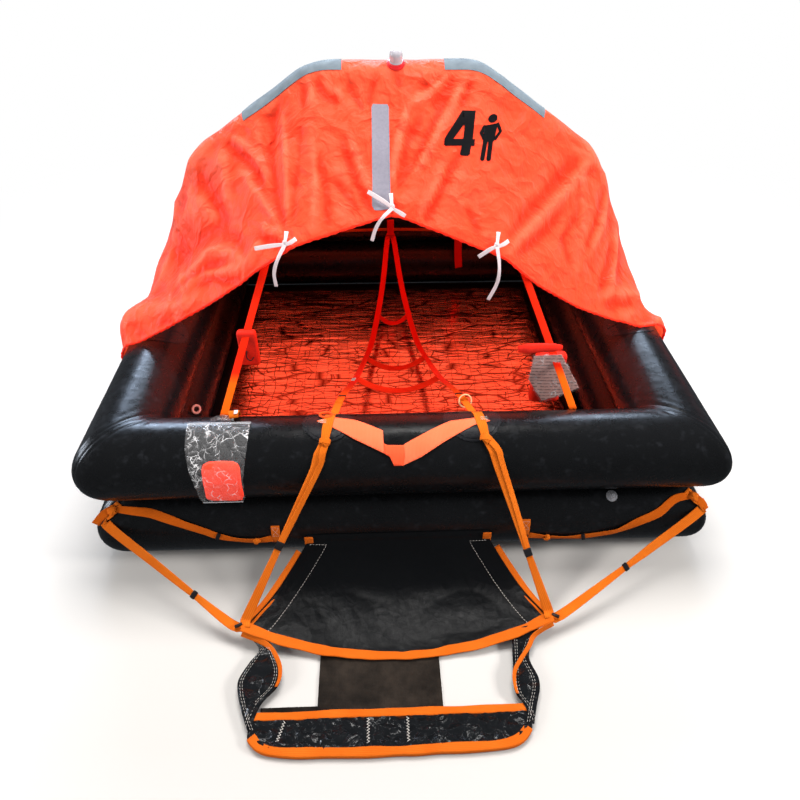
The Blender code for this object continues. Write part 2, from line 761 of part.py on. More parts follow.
def make_ladder():
    leg_width = 0.024
    rung_width = 0.022
    for side, sign in (("left", -1), ("right", 1)):
        ribbon(f"ladder_leg_{side}", ladder_points(sign), (1, 0, 0), look=RED_WEBBING, width=leg_width)
    for number, place in enumerate(RUNG_PLACES, start=1):
        y, z, half = LADDER_PATH[place]
        inner = min(ladder_half_at(y - rung_width / 2), ladder_half_at(y + rung_width / 2)) - leg_width / 2
        droop = 0.035
        steep = 2 * droop / inner
        reach = inner - GAP - WEBBING / 2 * steep / math.hypot(1, steep)
        ahead, behind = LADDER_PATH[place + 1], LADDER_PATH[place - 1]
        across = (0, 1, (behind[1] - ahead[1]) / (behind[0] - ahead[0]))
        points = []
        for step in range(7):
            u = -1 + step / 3
            points.append(Vector((u * reach, FRONT + y, z - droop * (1 - u * u))))
        ribbon(f"ladder_rung_{number}", points, across, look=RED_WEBBING, width=rung_width)


def make_inner_lines():
    lift = GAP + WEBBING / 2
    back_face = REAR - TUBE_RADIUS - lift
    z = UPPER_Z - 0.004
    line = [(x, back_face, z) for x in (-0.55, 0.0, 0.55)]
    ribbon("inner_lifeline_rear", line, (0, 0, 1), width=0.020)
    tab_y = back_face - WEBBING - GAP
    tab = [(0.0, tab_y, z + 0.045), (0.0, tab_y, z - 0.03)]
    ribbon("ladder_anchor_tab", tab, (1, 0, 0), look=RED_WEBBING, width=0.03)
    hanging = [(0.30, tab_y, z + 0.01), (0.303, tab_y - 0.006, z - 0.06), (0.31, tab_y - 0.004, z - 0.16)]
    ribbon("hanging_strap", hanging, (1, 0, 0), look=RED_WEBBING, width=0.032)


STAY_FOOT_X = {"left": -0.488, "right": 0.47}
STAY_HEAD_X = {"left": -0.262, "right": 0.20}


def arch_height(x):
    """Height of the arch tube's middle at a distance from the raft's middle plane."""
    path = [Vector(p) for p in arch_path()[:3]]
    for low, high in ((path[1], path[2]), (path[0], path[1])):
        if abs(x) >= high.x:
            place = low.lerp(high, (abs(x) - low.x) / (high.x - low.x))
        if high.x <= abs(x) <= low.x:
            return place.y
    return path[2].y


def stay_head(side):
    x = STAY_HEAD_X[side]
    return Vector((x, MIDDLE - ARCH_RADIUS - GAP - WEBBING / 2, arch_height(x) - 0.012))


def make_stays():
    """Webbing from the front tube's inner side to the front of the arch, which keeps the arch upright."""
    lift = GAP + WEBBING / 2
    for side in ("left", "right"):
        foot_x = STAY_FOOT_X[side]
        foot = front_tube_point(foot_x, 135, UPPER_Z, lift)
        low = front_tube_point(foot_x, 153, UPPER_Z, lift)
        head = stay_head(side)
        top = head + Vector((0, 0, 0.018))
        ribbon(f"arch_stay_{side}", [low, foot, head, top], (1, 0, 0), look=RED_WEBBING, width=0.026)


def make_pouches():
    """Two small fabric pouches that hang by their front edge from the stays, the right one with a card."""
    red = ("red_pouch_fabric", "D8301C", 0.7)
    bevel = 0.004
    sizes = {"left": (0.26, 0.065, 0.022, 0.115), "right": (0.165, 0.15, 0.03, 0.17)}
    for side, (along, wide, deep, tall) in sizes.items():
        foot = front_tube_point(STAY_FOOT_X[side], 135, UPPER_Z, GAP + WEBBING / 2)
        at = foot.lerp(stay_head(side), along)
        top = at.z - WEBBING + 0.6 * bevel
        low = (at.x - wide / 2, at.y, top - tall)
        box(f"stay_pouch_{side}", low, (at.x + wide / 2, at.y + deep, top), red, bevel=bevel)
    card = 0.001
    box("instruction_card", (at.x - 0.065, low[1] - GAP - card, low[2] + 0.005),
        (at.x + 0.070, low[1] - GAP, low[2] + 0.135), ("printed_card", "C9B7B2", 0.5))


def make_zip_bag():
    lift = GAP + 0.004
    points = [front_tube_point(-0.495, angle, UPPER_Z, lift) for angle in (99, 81, 63, 45, 27, 9)]
    hang = Vector(points[-1]) + Vector((0, 0.0, -0.045))
    film = ("clear_film_bag", "D9DCE0", 0.15)
    ribbon("zip_bag", points + [hang], (1, 0, 0), look=film, width=0.165, thickness=0.008)


def make_valves():
    lift = TUBE_RADIUS + GAP
    metal = ("bright_valve_metal", "B9BBBE", 0.3, 1.0)
    x, facet = 0.566, 36
    turn = math.radians(facet)
    out = Vector((0, -math.cos(turn), math.sin(turn)))
    centre = Vector((x, FRONT, LOWER_Z)) + out * lift
    side = Vector((1, 0, 0))
    up = out.cross(side)
    rings = []
    for radius, height in ((0.011, 0.0), (0.011, 0.004), (0.007, 0.006), (0.006, 0.014)):
        ring = []
        for k in range(16):
            turn_k = 2 * math.pi * k / 16
            round_out = side * math.cos(turn_k) + up * math.sin(turn_k)
            ring.append(centre + out * height + round_out * radius)
        rings.append(ring)
    sweep("inflation_valve", rings, metal)


CYLINDER_RADIUS = 0.05
CYLINDER_HALF = 0.155


def make_gas_cylinder():
    """The gas cylinder in the crease between the two tubes at the back, held by two bands."""
    reach = TUBE_RADIUS * APOTHEM_TO_VERTEX + GAP + CYLINDER_RADIUS
    apart = (UPPER_Z - LOWER_Z) / 2
    z = LOWER_Z + apart
    y = REAR + math.sqrt(reach ** 2 - apart ** 2)
    end = CYLINDER_HALF
    profile = [(0.028, -end - 0.018), (0.042, -end - 0.008), (CYLINDER_RADIUS, -end + 0.008),
               (CYLINDER_RADIUS, end - 0.014), (0.042, end + 0.004), (0.020, end + 0.016),
               (0.014, end + 0.026)]
    turned("gas_cylinder", profile, ("cylinder_paint_grey", "8E9296", 0.45), (0.04, y, z), axis="X", sides=24)
    neck = end + 0.026 + GAP
    head = [(0.019, neck), (0.021, neck + 0.004), (0.021, neck + 0.030), (0.014, neck + 0.036)]
    brass = ("brass_operating_head", "B08D4A", 0.35, 1.0)
    turned("cylinder_head", head, brass, (0.04, y, z), axis="X", sides=16)
    radius = CYLINDER_RADIUS + GAP + WEBBING / 2
    for number, x in enumerate((-0.05, 0.13), start=1):
        points = []
        for step in range(17):
            turn = math.radians(-118 + 236 * step / 16)
            points.append((x, y + radius * math.cos(turn), z + radius * math.sin(turn)))
        ribbon(f"cylinder_band_{number}", points, (1, 0, 0), look=BLACK_TARPAULIN, width=0.04)


def make_line_ring():
    """The small pull ring that hangs on the inner side of the left tubes."""
    outer = 0.0165
    thick = 0.0035
    centre = Vector((-0.6680, FRONT + 0.364, 0.190))
    rings = []
    for k in range(16):
        turn = 2 * math.pi * k / 16
        out = Vector((0, math.cos(turn), math.sin(turn)))
        ring = []
        for m in range(8):
            roll = 2 * math.pi * m / 8 + math.pi / 8
            radius = outer - thick + thick * math.cos(roll)
            ring.append(centre + out * radius + Vector((1, 0, 0)) * thick * math.sin(roll))
        rings.append(ring)
    sweep("line_ring", rings, ("pink_rubber", "E9A69C", 0.6), closed=True)


def make_outer_lifelines():
    lift = GAP + WEBBING / 2
    front_y = FRONT - TUBE_RADIUS - lift
    height = LOWER_Z - 0.001
    for side, sign in (("left", -1), ("right", 1)):
        points = [(sign * 0.66, front_y, height), (sign * 0.54, front_y - 0.010, height - 0.016),
                  (sign * 0.44, front_y - 0.004, height - 0.008), (sign * 0.34, front_y, height)]
        ribbon(f"front_lifeline_{side}", points, (0, 0, 1), width=0.024)
        side_x = sign * (HALF_WIDTH + TUBE_RADIUS + lift)
        points = []
        for step in range(13):
            y = FRONT + 0.06 + step * (2 * HALF_LENGTH - 0.12) / 12
            dip = abs(math.sin(math.pi * step / 4))
            points.append((side_x + sign * 0.006 * dip, y, height - 0.030 * dip))
        ribbon(f"side_lifeline_{side}", points, (0, 0, 1), width=0.024)
    rear_y = REAR + TUBE_RADIUS + lift
    points = []
    for step in range(13):
        x = -0.70 + step * 1.40 / 12
        dip = abs(math.sin(math.pi * step / 4))
        points.append((x, rear_y + 0.006 * dip, height - 0.030 * dip))
    ribbon("rear_lifeline", points, (0, 0, 1), width=0.024)


def main():
    clear_scene()
    make_tubes()
    make_floor()
    make_arch()
    make_canopy_rear()
    make_canopy_front()
    make_lamp()
    make_boarding_handle()
    make_front_straps()
    make_corner_straps()
    make_ramp()
    make_step()
    make_ladder()
    make_inner_lines()
    make_stays()
    make_pouches()
    make_zip_bag()
    make_valves()
    make_gas_cylinder()
    make_line_ring()
    make_outer_lifelines()


main()
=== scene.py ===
# %% [markdown]
# # A four-person coastal life raft
#
# Two black tubes lie one on the other in a square and keep the raft afloat. An inflated arch
# stands across the middle and carries an orange canopy. A ramp and a step lie in front, for
# climbing in. Everything here is soft: coated fabric, webbing, film and thread, so most pieces are
# made as sheets and straps that follow the same numbers as the measured solids.

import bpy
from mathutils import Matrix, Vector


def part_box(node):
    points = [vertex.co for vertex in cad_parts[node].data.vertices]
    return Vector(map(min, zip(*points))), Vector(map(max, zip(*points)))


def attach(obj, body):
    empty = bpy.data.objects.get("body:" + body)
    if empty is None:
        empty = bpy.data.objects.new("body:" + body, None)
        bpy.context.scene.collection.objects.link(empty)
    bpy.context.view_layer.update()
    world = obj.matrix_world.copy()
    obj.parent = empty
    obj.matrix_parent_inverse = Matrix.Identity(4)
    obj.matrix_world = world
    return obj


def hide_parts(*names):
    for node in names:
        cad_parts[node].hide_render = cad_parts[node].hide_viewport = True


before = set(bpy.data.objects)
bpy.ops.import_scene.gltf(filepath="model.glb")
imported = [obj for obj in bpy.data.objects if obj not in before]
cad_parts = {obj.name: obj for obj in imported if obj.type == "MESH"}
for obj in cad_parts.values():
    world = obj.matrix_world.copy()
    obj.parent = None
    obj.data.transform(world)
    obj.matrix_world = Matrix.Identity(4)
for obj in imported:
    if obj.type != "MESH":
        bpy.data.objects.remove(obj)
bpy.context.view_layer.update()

import math

import bmesh
import bpy
import numpy as np
from mathutils import Matrix, Vector, noise
from mathutils.bvhtree import BVHTree

# %% [markdown]
# ## The raft's numbers
#
# All places are in metres, with the origin on the floor in the middle of the footprint. X runs to
# the right, Y to the back and Z up. The tubes are 220 mm thick, and their middle lines make a
# square with sides of 1.52 m.

# %% The raft's numbers
TUBE = 0.11
HALF = 0.76
FRONT = -0.5148
MIDDLE = FRONT + HALF
REAR = FRONT + 2 * HALF
LOWER_Z = 0.11
UPPER_Z = 0.3303
ARCH = 0.062
print("tube middle lines from", FRONT, "to", round(REAR, 4))

# %% [markdown]
# ## The camera
#
# The raft is seen from a standing person's height, 1.2 m in front of the front tube, looking down
# at 40 degrees. The lens is a wide one, so the ramp looks large and the canopy leans back.

# %% The camera
CAMERA_AT = Vector((-0.0656, -1.7487, 1.5660))
CAMERA_DOWN = math.radians(40.25)
CAMERA_RIGHT = math.radians(2.46)
CAMERA_ROLL = math.radians(0.45)


def place_camera():
    forward = Vector((math.sin(CAMERA_RIGHT) * math.cos(CAMERA_DOWN),
                      math.cos(CAMERA_RIGHT) * math.cos(CAMERA_DOWN), -math.sin(CAMERA_DOWN)))
    right = Vector((math.cos(CAMERA_RIGHT), -math.sin(CAMERA_RIGHT), 0))
    up = right.cross(forward)
    side = right * math.cos(CAMERA_ROLL) + up * math.sin(CAMERA_ROLL)
    top = side.cross(forward)
    turn = Matrix((side, top, -forward)).transposed().to_4x4()
    lens = bpy.data.cameras.new("camera")
    lens.sensor_fit = "HORIZONTAL"
    lens.sensor_width = 36.0
    lens.lens = 28.72
    camera = bpy.data.objects.new("camera", lens)
    bpy.context.scene.collection.objects.link(camera)
    camera.matrix_world = Matrix.Translation(CAMERA_AT) @ turn
    bpy.context.scene.camera = camera


place_camera()
print("camera at", tuple(round(v, 2) for v in CAMERA_AT))

# %% [markdown]
# ## Ways to make a look
#
# Each material mixes a few patterns into a colour, a gloss and a relief. One small helper adds a
# node. The others are short ways to the patterns that most looks share, so that a look reads as a
# list of what can be seen in it.

# %% Ways to make a look
# A band pattern repeats every 0.314 m at scale 1, so a spacing in metres gives the scale.
BAND = 0.31416


def linear(colour):
    channels = [int(colour[i:i + 2], 16) / 255 for i in (1, 3, 5)]
    return [c / 12.92 if c <= 0.04045 else ((c + 0.055) / 1.055) ** 2.4 for c in channels] + [1.0]


def add(tree, kind, inputs, **settings):
    """Adds a shader node with its settings, its values and its links."""
    node = tree.nodes.new("ShaderNode" + kind)
    for key, value in settings.items():
        setattr(node, key, value)
    for key, value in inputs.items():
        if isinstance(value, bpy.types.NodeSocket):
            tree.links.new(value, node.inputs[key])
        else:
            node.inputs[key].default_value = value
    return node


def new_look(name, colour, roughness, **shader_values):
    """A material and the places on its object; the values are set on the shader's own sockets."""
    look = bpy.data.materials.new(name)
    look.use_nodes = True
    shader = look.node_tree.nodes["Principled BSDF"]
    shader.inputs["Base Color"].default_value = linear(colour)
    shader.inputs["Roughness"].default_value = roughness
    for key, value in shader_values.items():
        shader.inputs[key.replace("_", " ")].default_value = value
    return look, look.node_tree, add(look.node_tree, "TexCoord", {}).outputs["Object"]


def mix(tree, share, first, second):
    """A blend of two colours, each given in hex or by a node."""
    first, second = [linear(c) if isinstance(c, str) else c for c in (first, second)]
    return add(tree, "Mix", {0: share, 6: first, 7: second}, data_type="RGBA").outputs[2]


def spread(tree, value, low, high, to_low=0.0, to_high=1.0, **settings):
    """Stretches one range of a value over another."""
    return add(tree, "MapRange", {"Value": value, "From Min": low, "From Max": high, "To Min": to_low,
                                  "To Max": to_high}, **settings).outputs["Result"]


def cloud(tree, where, scale, detail=2.0, rough=0.5, bend=0.0):
    return add(tree, "TexNoise", {"Vector": where, "Scale": scale, "Detail": detail, "Roughness": rough,
                                  "Distortion": bend}).outputs["Fac"]


def cracks(tree, where, scale):
    """The distance to the nearest border between cells of a random net."""
    return add(tree, "TexVoronoi", {"Vector": where, "Scale": scale},
               feature="DISTANCE_TO_EDGE").outputs["Distance"]


def bands(tree, where, spacing, across, bend=0.0, detail=2.0):
    """Bands of one real spacing in metres, that follow one another across an axis."""
    return add(tree, "TexWave", {"Vector": where, "Scale": BAND / spacing, "Distortion": bend,
                                 "Detail": detail}, bands_direction=across).outputs["Fac"]


def combine(tree, operation, one, two):
    return add(tree, "Math", {0: one, 1: two}, operation=operation).outputs["Value"]


def wandering(tree, where, scale, detail, reach):
    """The same places, each shifted by a soft noise, so that straight patterns wander."""
    drift = add(tree, "TexNoise", {"Vector": where, "Scale": scale, "Detail": detail}).outputs["Color"]
    shift = add(tree, "VectorMath", {0: drift, 1: reach}, operation="MULTIPLY").outputs["Vector"]
    return add(tree, "VectorMath", {0: where, 1: shift}, operation="ADD").outputs["Vector"]


def bump(tree, strength, distance, height, under=None):
    """A relief of some metres' depth, on top of the one under it."""
    inputs = {"Strength": strength, "Distance": distance, "Height": height}
    return add(tree, "Bump", inputs | ({"Normal": under} if under else {})).outputs["Normal"]


def wired(look, colour, normal=None, roughness=None):
    """Links a look's shader to its colour, relief and gloss."""
    shader = look.node_tree.nodes["Principled BSDF"]
    for name, socket in (("Base Color", colour), ("Normal", normal), ("Roughness", roughness)):
        if socket:
            look.node_tree.links.new(socket, shader.inputs[name])
    return look


print("look helpers ready")

# %% [markdown]
# ## Floor and light
#
# Black satin fabric shows the room more than its own colour, so the lamps decide its looks. One
# wide window behind the raft draws a long cool streak along the top of each tube. A small roof
# light and two side windows give glints, and a low red panel stands for another orange raft beside
# it. The other panels light cloth and floor evenly and leave no streak. The world is bright for
# cloth and dark for gloss, as in a hall with a few windows, and the pale floor isn't mirrored in
# the tubes. The view transform is the plain one, so that the orange stays as strong as it is on
# the real cloth.

# %% Floor and light
def lamp(name, place, aim, size, power, colour, shows=True, lights=True):
    """A soft panel; it may light cloth without a streak in a gloss, or only throw the streak."""
    light = bpy.data.lights.new(name, "AREA")
    light.shape = "RECTANGLE"
    light.size, light.size_y = size
    light.energy = power
    light.color = linear(colour)[:3]
    item = bpy.data.objects.new(name, light)
    bpy.context.scene.collection.objects.link(item)
    item.location = place
    item.rotation_euler = (Vector(aim) - Vector(place)).to_track_quat("-Z", "Y").to_euler()
    item.visible_glossy = shows
    item.visible_diffuse = lights


def light_the_studio():
    world = bpy.data.worlds.new("studio")
    bpy.context.scene.world = world
    world.use_nodes = True
    tree = world.node_tree
    around = tree.nodes["Background"]
    around.inputs["Color"].default_value = linear("#FBFCFF")
    around.inputs["Strength"].default_value = 0.42
    dark_room = add(tree, "Background", {"Color": linear("#DDE6F0"), "Strength": 0.12})
    backdrop = add(tree, "Background", {"Color": linear("#FFFFFF"), "Strength": 1.0})
    ray = add(tree, "LightPath", {})
    lit = add(tree, "MixShader", {0: ray.outputs["Is Glossy Ray"], 1: around.outputs["Background"],
                                  2: dark_room.outputs["Background"]})
    seen = add(tree, "MixShader", {0: ray.outputs["Is Camera Ray"], 1: lit.outputs["Shader"],
                                   2: backdrop.outputs["Background"]})
    tree.links.new(seen.outputs["Shader"], tree.nodes["World Output"].inputs["Surface"])
    lamp("back_window", (0.0, 4.6, 3.4), (0, 0.2, 0.3), (6.0, 1.6), 430, "#D2E6FF")
    lamp("ceiling", (0.0, 0.9, 4.2), (0, 0.3, 0), (2.6, 2.0), 330, "#FFF9F4", shows=False)
    lamp("side_key", (3.6, -1.3, 2.2), (0, 0, 0.7), (0.9, 0.9), 215, "#FFF8F2", shows=False)
    lamp("left_fill", (-3.4, -1.6, 2.0), (0, 0, 0.7), (1.4, 1.4), 110, "#FFF8F2", shows=False)
    lamp("roof_light", (0.25, 1.0, 4.4), (0, -0.6, 0), (1.3, 0.45), 30, "#FFFDFA", lights=False)
    lamp("left_window", (-2.0, 4.4, 2.9), (-0.5, 0.2, 0.4), (1.7, 1.4), 95, "#C8DEFF", lights=False)
    lamp("side_window", (-5.0, 1.0, 1.3), (-0.8, -0.4, 0.3), (1.3, 1.0), 70, "#E6F0FF", lights=False)
    lamp("red_neighbour", (3.6, 4.3, 0.45), (0.8, 0.3, 0.4), (2.8, 0.8), 5, "#FF2A18", lights=False)
    bpy.context.scene.view_settings.view_transform = "Standard"


def deselect():
    bpy.ops.object.select_all(action="DESELECT")


def make_studio_floor():
    deselect()
    bpy.ops.mesh.primitive_plane_add(size=30, location=(0, 0, -0.0006))
    floor = bpy.context.object
    floor.name = "studio_floor"
    look, tree, where = new_look("painted_studio_floor", "#ACACAB", 0.9)
    shader = tree.nodes["Principled BSDF"]
    away = add(tree, "VectorMath", {0: where}, operation="LENGTH").outputs["Value"]
    far = spread(tree, away, 1.3, 3.2, interpolation_type="SMOOTHSTEP")
    paper = add(tree, "Emission", {"Color": linear("#FFFFFF"), "Strength": 1.0}).outputs["Emission"]
    both = add(tree, "MixShader", {0: far, 1: shader.outputs["BSDF"], 2: paper})
    tree.links.new(both.outputs["Shader"], tree.nodes["Material Output"].inputs["Surface"])
    shine = spread(tree, cloud(tree, where, 60.0, 3.0), 0.0, 1.0, 0.82, 0.95)
    tree.links.new(shine, shader.inputs["Roughness"])
    floor.data.materials.append(look)
    floor.visible_glossy = False


light_the_studio()
make_studio_floor()

# %% [markdown]
# ## Coated tube fabric
#
# The tubes are polyester cloth coated with a black calendered rubber. The coat is satin, so lamps
# show as long soft streaks, and it gathers pale dust and fine rub marks where the raft was folded.
# The cloth's own threads are far too fine to see, so only their slight grain is kept, drawn at
# 2 mm, under the slow ripple of an inflated skin.

# %% Coated tube fabric
def tube_fabric_look(name, dark, pale):
    look, tree, where = new_look(name, "#0C0D0F", 0.34, Specular_IOR_Level=0.3)
    dust = cloud(tree, where, 38.0, 8.0, 0.72)
    slow = mix(tree, cloud(tree, where, 5.0, 5.0, 0.6), dark, pale)
    worn = mix(tree, spread(tree, dust, 0.55, 0.8), slow, "#202226")
    wave = bump(tree, 0.35, 0.004, cloud(tree, where, 22.0))
    fine = bump(tree, 0.12, 0.0006, cloud(tree, where, 480.0, 1.0), wave)
    return wired(look, worn, fine, spread(tree, dust, 0.3, 0.7, 0.22, 0.38))


TUBE_FABRIC = tube_fabric_look("calendered_coated_fabric", "#08090A", "#111214")
TUBE_PATCH = tube_fabric_look("glued_patch_fabric", "#121316", "#1C1D20")
print("made", TUBE_FABRIC.name)

# %% [markdown]
# ## Canopy nylon
#
# The canopy is thin nylon with a water-tight coat, dyed a signal orange. Light goes through it, so its inside
# glows; a share of translucent shader gives that. Its colour also carries painted shade, redder in the
# valleys of its folds, and a painted highlight, paler on their crests. Packing leaves the cloth crushed:
# small facets with sharp rims, and hanging creases between.

# %% Canopy nylon
def canopy_look():
    look, tree, where = new_look("coated_nylon", "#FF4A22", 0.5, Sheen_Weight=0.10, Sheen_Roughness=0.4,
                                 Specular_IOR_Level=0.35)
    depth = add(tree, "Attribute", {}, attribute_name="fold_depth").outputs["Fac"]
    cloth = mix(tree, cloud(tree, where, 3.5, 4.0), "#FF4A2A", "#FF5836")
    # Painted shade and painted highlight: the cloth turns redder in the valleys of its folds and paler on
    # their crests.
    valley_shaded = mix(tree, spread(tree, depth, 0.46, 0.05, 0.0, 0.75), cloth, "#FB3216")
    colour = mix(tree, spread(tree, depth, 0.54, 1.0, 0.0, 0.5), valley_shaded, "#FF7E5E")
    bent = wandering(tree, where, 7.0, 3.0, (0.16, 0.16, 0.16))
    normal = bump(tree, 0.4, 0.008, cloud(tree, where, 30.0, 7.0, 0.6, 0.8))
    facets = add(tree, "TexVoronoi", {"Vector": bent, "Scale": 15.0}).outputs["Distance"]
    normal = bump(tree, 0.6, 0.026, facets, normal)
    hung = add(tree, "Mapping", {"Vector": bent, "Scale": (24.0, 24.0, 5.0)}).outputs["Vector"]
    normal = bump(tree, 0.6, 0.022, cloud(tree, hung, 1.0, 3.0), normal)
    normal = bump(tree, 0.12, 0.0005, cloud(tree, where, 600.0, 1.0), normal)
    wired(look, colour, normal)
    through = add(tree, "BsdfTranslucent", {"Color": colour, "Normal": normal}).outputs["BSDF"]
    both = add(tree, "MixShader", {0: 0.42, 1: tree.nodes["Principled BSDF"].outputs["BSDF"], 2: through})
    tree.links.new(both.outputs["Shader"], tree.nodes["Material Output"].inputs["Surface"])
    return look


CANOPY_NYLON = canopy_look()
print("made", CANOPY_NYLON.name)

# %% [markdown]
# ## Webbing
#
# Straps are woven polyester webbing: rows of short ribs with a denser edge, matt, with a little
# fuzz that catches light. The pattern follows each strap's own length and width, so it reads the
# strap's UV map, which is in metres. Real ribs are 1.3 mm apart, and are drawn at 2.6 mm.

# %% Webbing
def webbing_look(name, colour, shade, light, outside=None, fade=(0, 0)):
    """Woven webbing; given an outside colour, a strap is painted in the canopy's red light under the canopy
    and turns to its outside colour where it leaves it.
    """
    look, tree, where = new_look(name, colour, 0.78, Sheen_Weight=0.01, Specular_IOR_Level=0.03)
    chart = add(tree, "UVMap", {}).outputs["UV"]
    weave = combine(tree, "MULTIPLY", bands(tree, chart, 0.0026, "Y", 1.2, 1.0),
                    bands(tree, chart, 0.0034, "X"))
    base = mix(tree, cloud(tree, where, 14.0, 4.0), colour, light)
    seen = mix(tree, spread(tree, weave, 0.0, 1.0, 0.55, 0.0), base, shade)
    # Painted canopy light: the strap's red under the canopy fades into its outside colour towards the front.
    if outside:
        depth = add(tree, "SeparateXYZ", {"Vector": where}).outputs["Y"]
        seen = mix(tree, spread(tree, depth, *fade), seen, outside)
    return wired(look, seen, bump(tree, 0.5, 0.0008, weave))


ORANGE_WEBBING = webbing_look("orange_polyester_webbing", "#C25A10", "#8C3C08", "#DA7624")
# Painted shade: the lifelines are a darker orange than the straps, for the shade under the upper tube.
LIFELINE_WEBBING = webbing_look("shaded_orange_webbing", "#B24E0C", "#863806", "#C6621A")
BINDING_TAPE = webbing_look("orange_binding_tape", "#B85010", "#863A08", "#D46E22")
RED_WEBBING = webbing_look("red_polyester_webbing", "#D81E0A", "#9C1404", "#E62C14")
# Painted canopy light: the ladder and the stays are red under the canopy and orange where they come out over
# the front tube.
LADDER_WEBBING = webbing_look("red_ladder_webbing", "#E62410", "#A81804", "#F4361A", "#DC5A10",
                              (-0.10, -0.33))
STAY_WEBBING = webbing_look("canopy_lit_stay_webbing", "#D81E0A", "#9C1404", "#E62C14", "#D4540E", (-0.35, -0.372))
HANDLE_WEBBING = webbing_look("salmon_polyester_webbing", "#FF6842", "#D84C2C", "#FF8460")
# Painted shade: the handle's folded patch is a deeper red than its arms.
HANDLE_FOLD = webbing_look("shaded_salmon_webbing", "#F8502C", "#CC3A1C", "#FF6A46")
TIE_TAPE = webbing_look("white_cotton_tape", "#D6C8CC", "#A89CA2", "#E6DADE")
print("made", ORANGE_WEBBING.name, BINDING_TAPE.name, RED_WEBBING.name, HANDLE_WEBBING.name, TIE_TAPE.name)

# %% [markdown]
# ## Tarpaulin and net
#
# The ramp, the step and the bottom sheet are vinyl-coated tarpaulin: smoother than the tubes, with
# soft dents that stay after folding. The piece between ramp and step is a coarse brown-black net
# cloth, matt and blotchy with dried water.

# %% Tarpaulin and net
def tarpaulin_look(name, crinkle, dark, pale, dent, rough, gloss):
    look, tree, where = new_look(name, dark, rough, Specular_IOR_Level=gloss)
    rub = cloud(tree, where, 60.0, 6.0, 0.7)
    wave = bump(tree, 0.6, dent, cloud(tree, where, 9.0, 5.0, 0.5, 0.6))
    sharp = bump(tree, crinkle, 0.012, cracks(tree, where, 30.0), wave)
    fine = bump(tree, 0.15, 0.0006, cloud(tree, where, 520.0, 1.0), sharp)
    shine = spread(tree, rub, 0.3, 0.7, rough - 0.06, rough + 0.1)
    return wired(look, mix(tree, rub, dark, pale), fine, shine)


def net_look():
    look, tree, where = new_look("coarse_net_cloth", "#211C18", 0.85)
    blotch = spread(tree, cloud(tree, where, 11.0, 6.0, 0.65), 0.35, 0.65)
    net = combine(tree, "MAXIMUM", bands(tree, where, 0.0035, "X", 0.6), bands(tree, where, 0.0035, "Y", 0.6))
    return wired(look, mix(tree, blotch, "#0E0C0A", "#29231E"), bump(tree, 0.7, 0.001, net))


TARPAULIN = tarpaulin_look("vinyl_tarpaulin", 0.1, "#050607", "#0B0C0E", 0.006, 0.36, 0.3)
CRINKLED_VINYL = tarpaulin_look("crinkled_vinyl", 1.0, "#08090A", "#131518", 0.018, 0.2, 0.6)
NET_CLOTH = net_look()
print("made", TARPAULIN.name, NET_CLOTH.name)

# %% [markdown]
# ## Metallised film
#
# The floor mat is foam between two metallised plastic films, quilted across. It acts as a crinkled
# mirror: bright where a crease throws the orange of the canopy back, black where it sees a tube.
# The film is nearly pure mirror, so its looks come from the bump, from lines pressed dark: quilt rows every
# 17 mm, long creases, and a net of fine cracks from folding, and from painted shade, a dark red-brown in the
# troughs of its long waves.

# %% Metallised film
def film_look():
    look, tree, where = new_look("metallised_plastic_film", "#FFF0EA", 0.16, Metallic=1.0)
    bent = wandering(tree, where, 6.0, 4.0, (0.05, 0.05, 0.0))
    pulled = add(tree, "Mapping", {"Vector": bent, "Scale": (4.0, 27.0, 1.0)}).outputs["Vector"]
    crossed = add(tree, "Mapping", {"Vector": bent, "Scale": (13.0, 30.0, 1.0), "Rotation": (0.0, 0.0, 0.12)})
    long_ones = spread(tree, cracks(tree, pulled, 1.0), 0.0, 0.07)
    short_ones = spread(tree, cracks(tree, crossed.outputs["Vector"], 1.0), 0.0, 0.03)
    square = add(tree, "VectorMath", {0: bent, 1: (0.040, 0.0165, 1.0)}, operation="DIVIDE")
    cell = add(tree, "VectorMath", {0: square.outputs["Vector"]}, operation="FRACTION")
    split = add(tree, "SeparateXYZ", {"Vector": cell.outputs["Vector"]})
    side = combine(tree, "MINIMUM", split.outputs["X"], split.outputs["Y"])
    lines = combine(tree, "MULTIPLY", long_ones, short_ones)
    lines = combine(tree, "MULTIPLY", lines, spread(tree, side, 0.0, 0.05))
    waves = cloud(tree, pulled, 1.0, 4.0, 0.55)
    tint = mix(tree, lines, "#6E4438", "#FFEEE4")
    # Painted shade: the mirror's colour turns dark red-brown in the troughs of the long waves.
    trough_shaded = mix(tree, spread(tree, waves, 0.28, 0.38, 0.25, 1.0), "#2A1410", tint)
    return wired(look, trough_shaded, bump(tree, 0.5, 0.0012, lines, bump(tree, 1.0, 0.0026, waves)))


MIRROR_FILM = film_look()
print("made", MIRROR_FILM.name)

# %% [markdown]
# ## Small finishes
#
# The rest is made as one family: a base colour broken up by a fine noise, a roughness that varies
# with it, and a bump at the size of the real surface's grain. What differs from one finish to the
# next is the colour, the gloss and the grain.

# %% Small finishes
def plain_look(name, colour, other, roughness, grain_mm, depth_mm, **shader_values):
    look, tree, where = new_look(name, colour, roughness, **shader_values)
    spots = cloud(tree, where, 350.0 / grain_mm, 5.0)
    shine = spread(tree, spots, 0.0, 1.0, roughness * 0.75, min(1.0, roughness * 1.25))
    grain = bump(tree, 0.5, depth_mm / 1000, cloud(tree, where, 1000.0 / grain_mm))
    return wired(look, mix(tree, spots, colour, other), grain, shine)


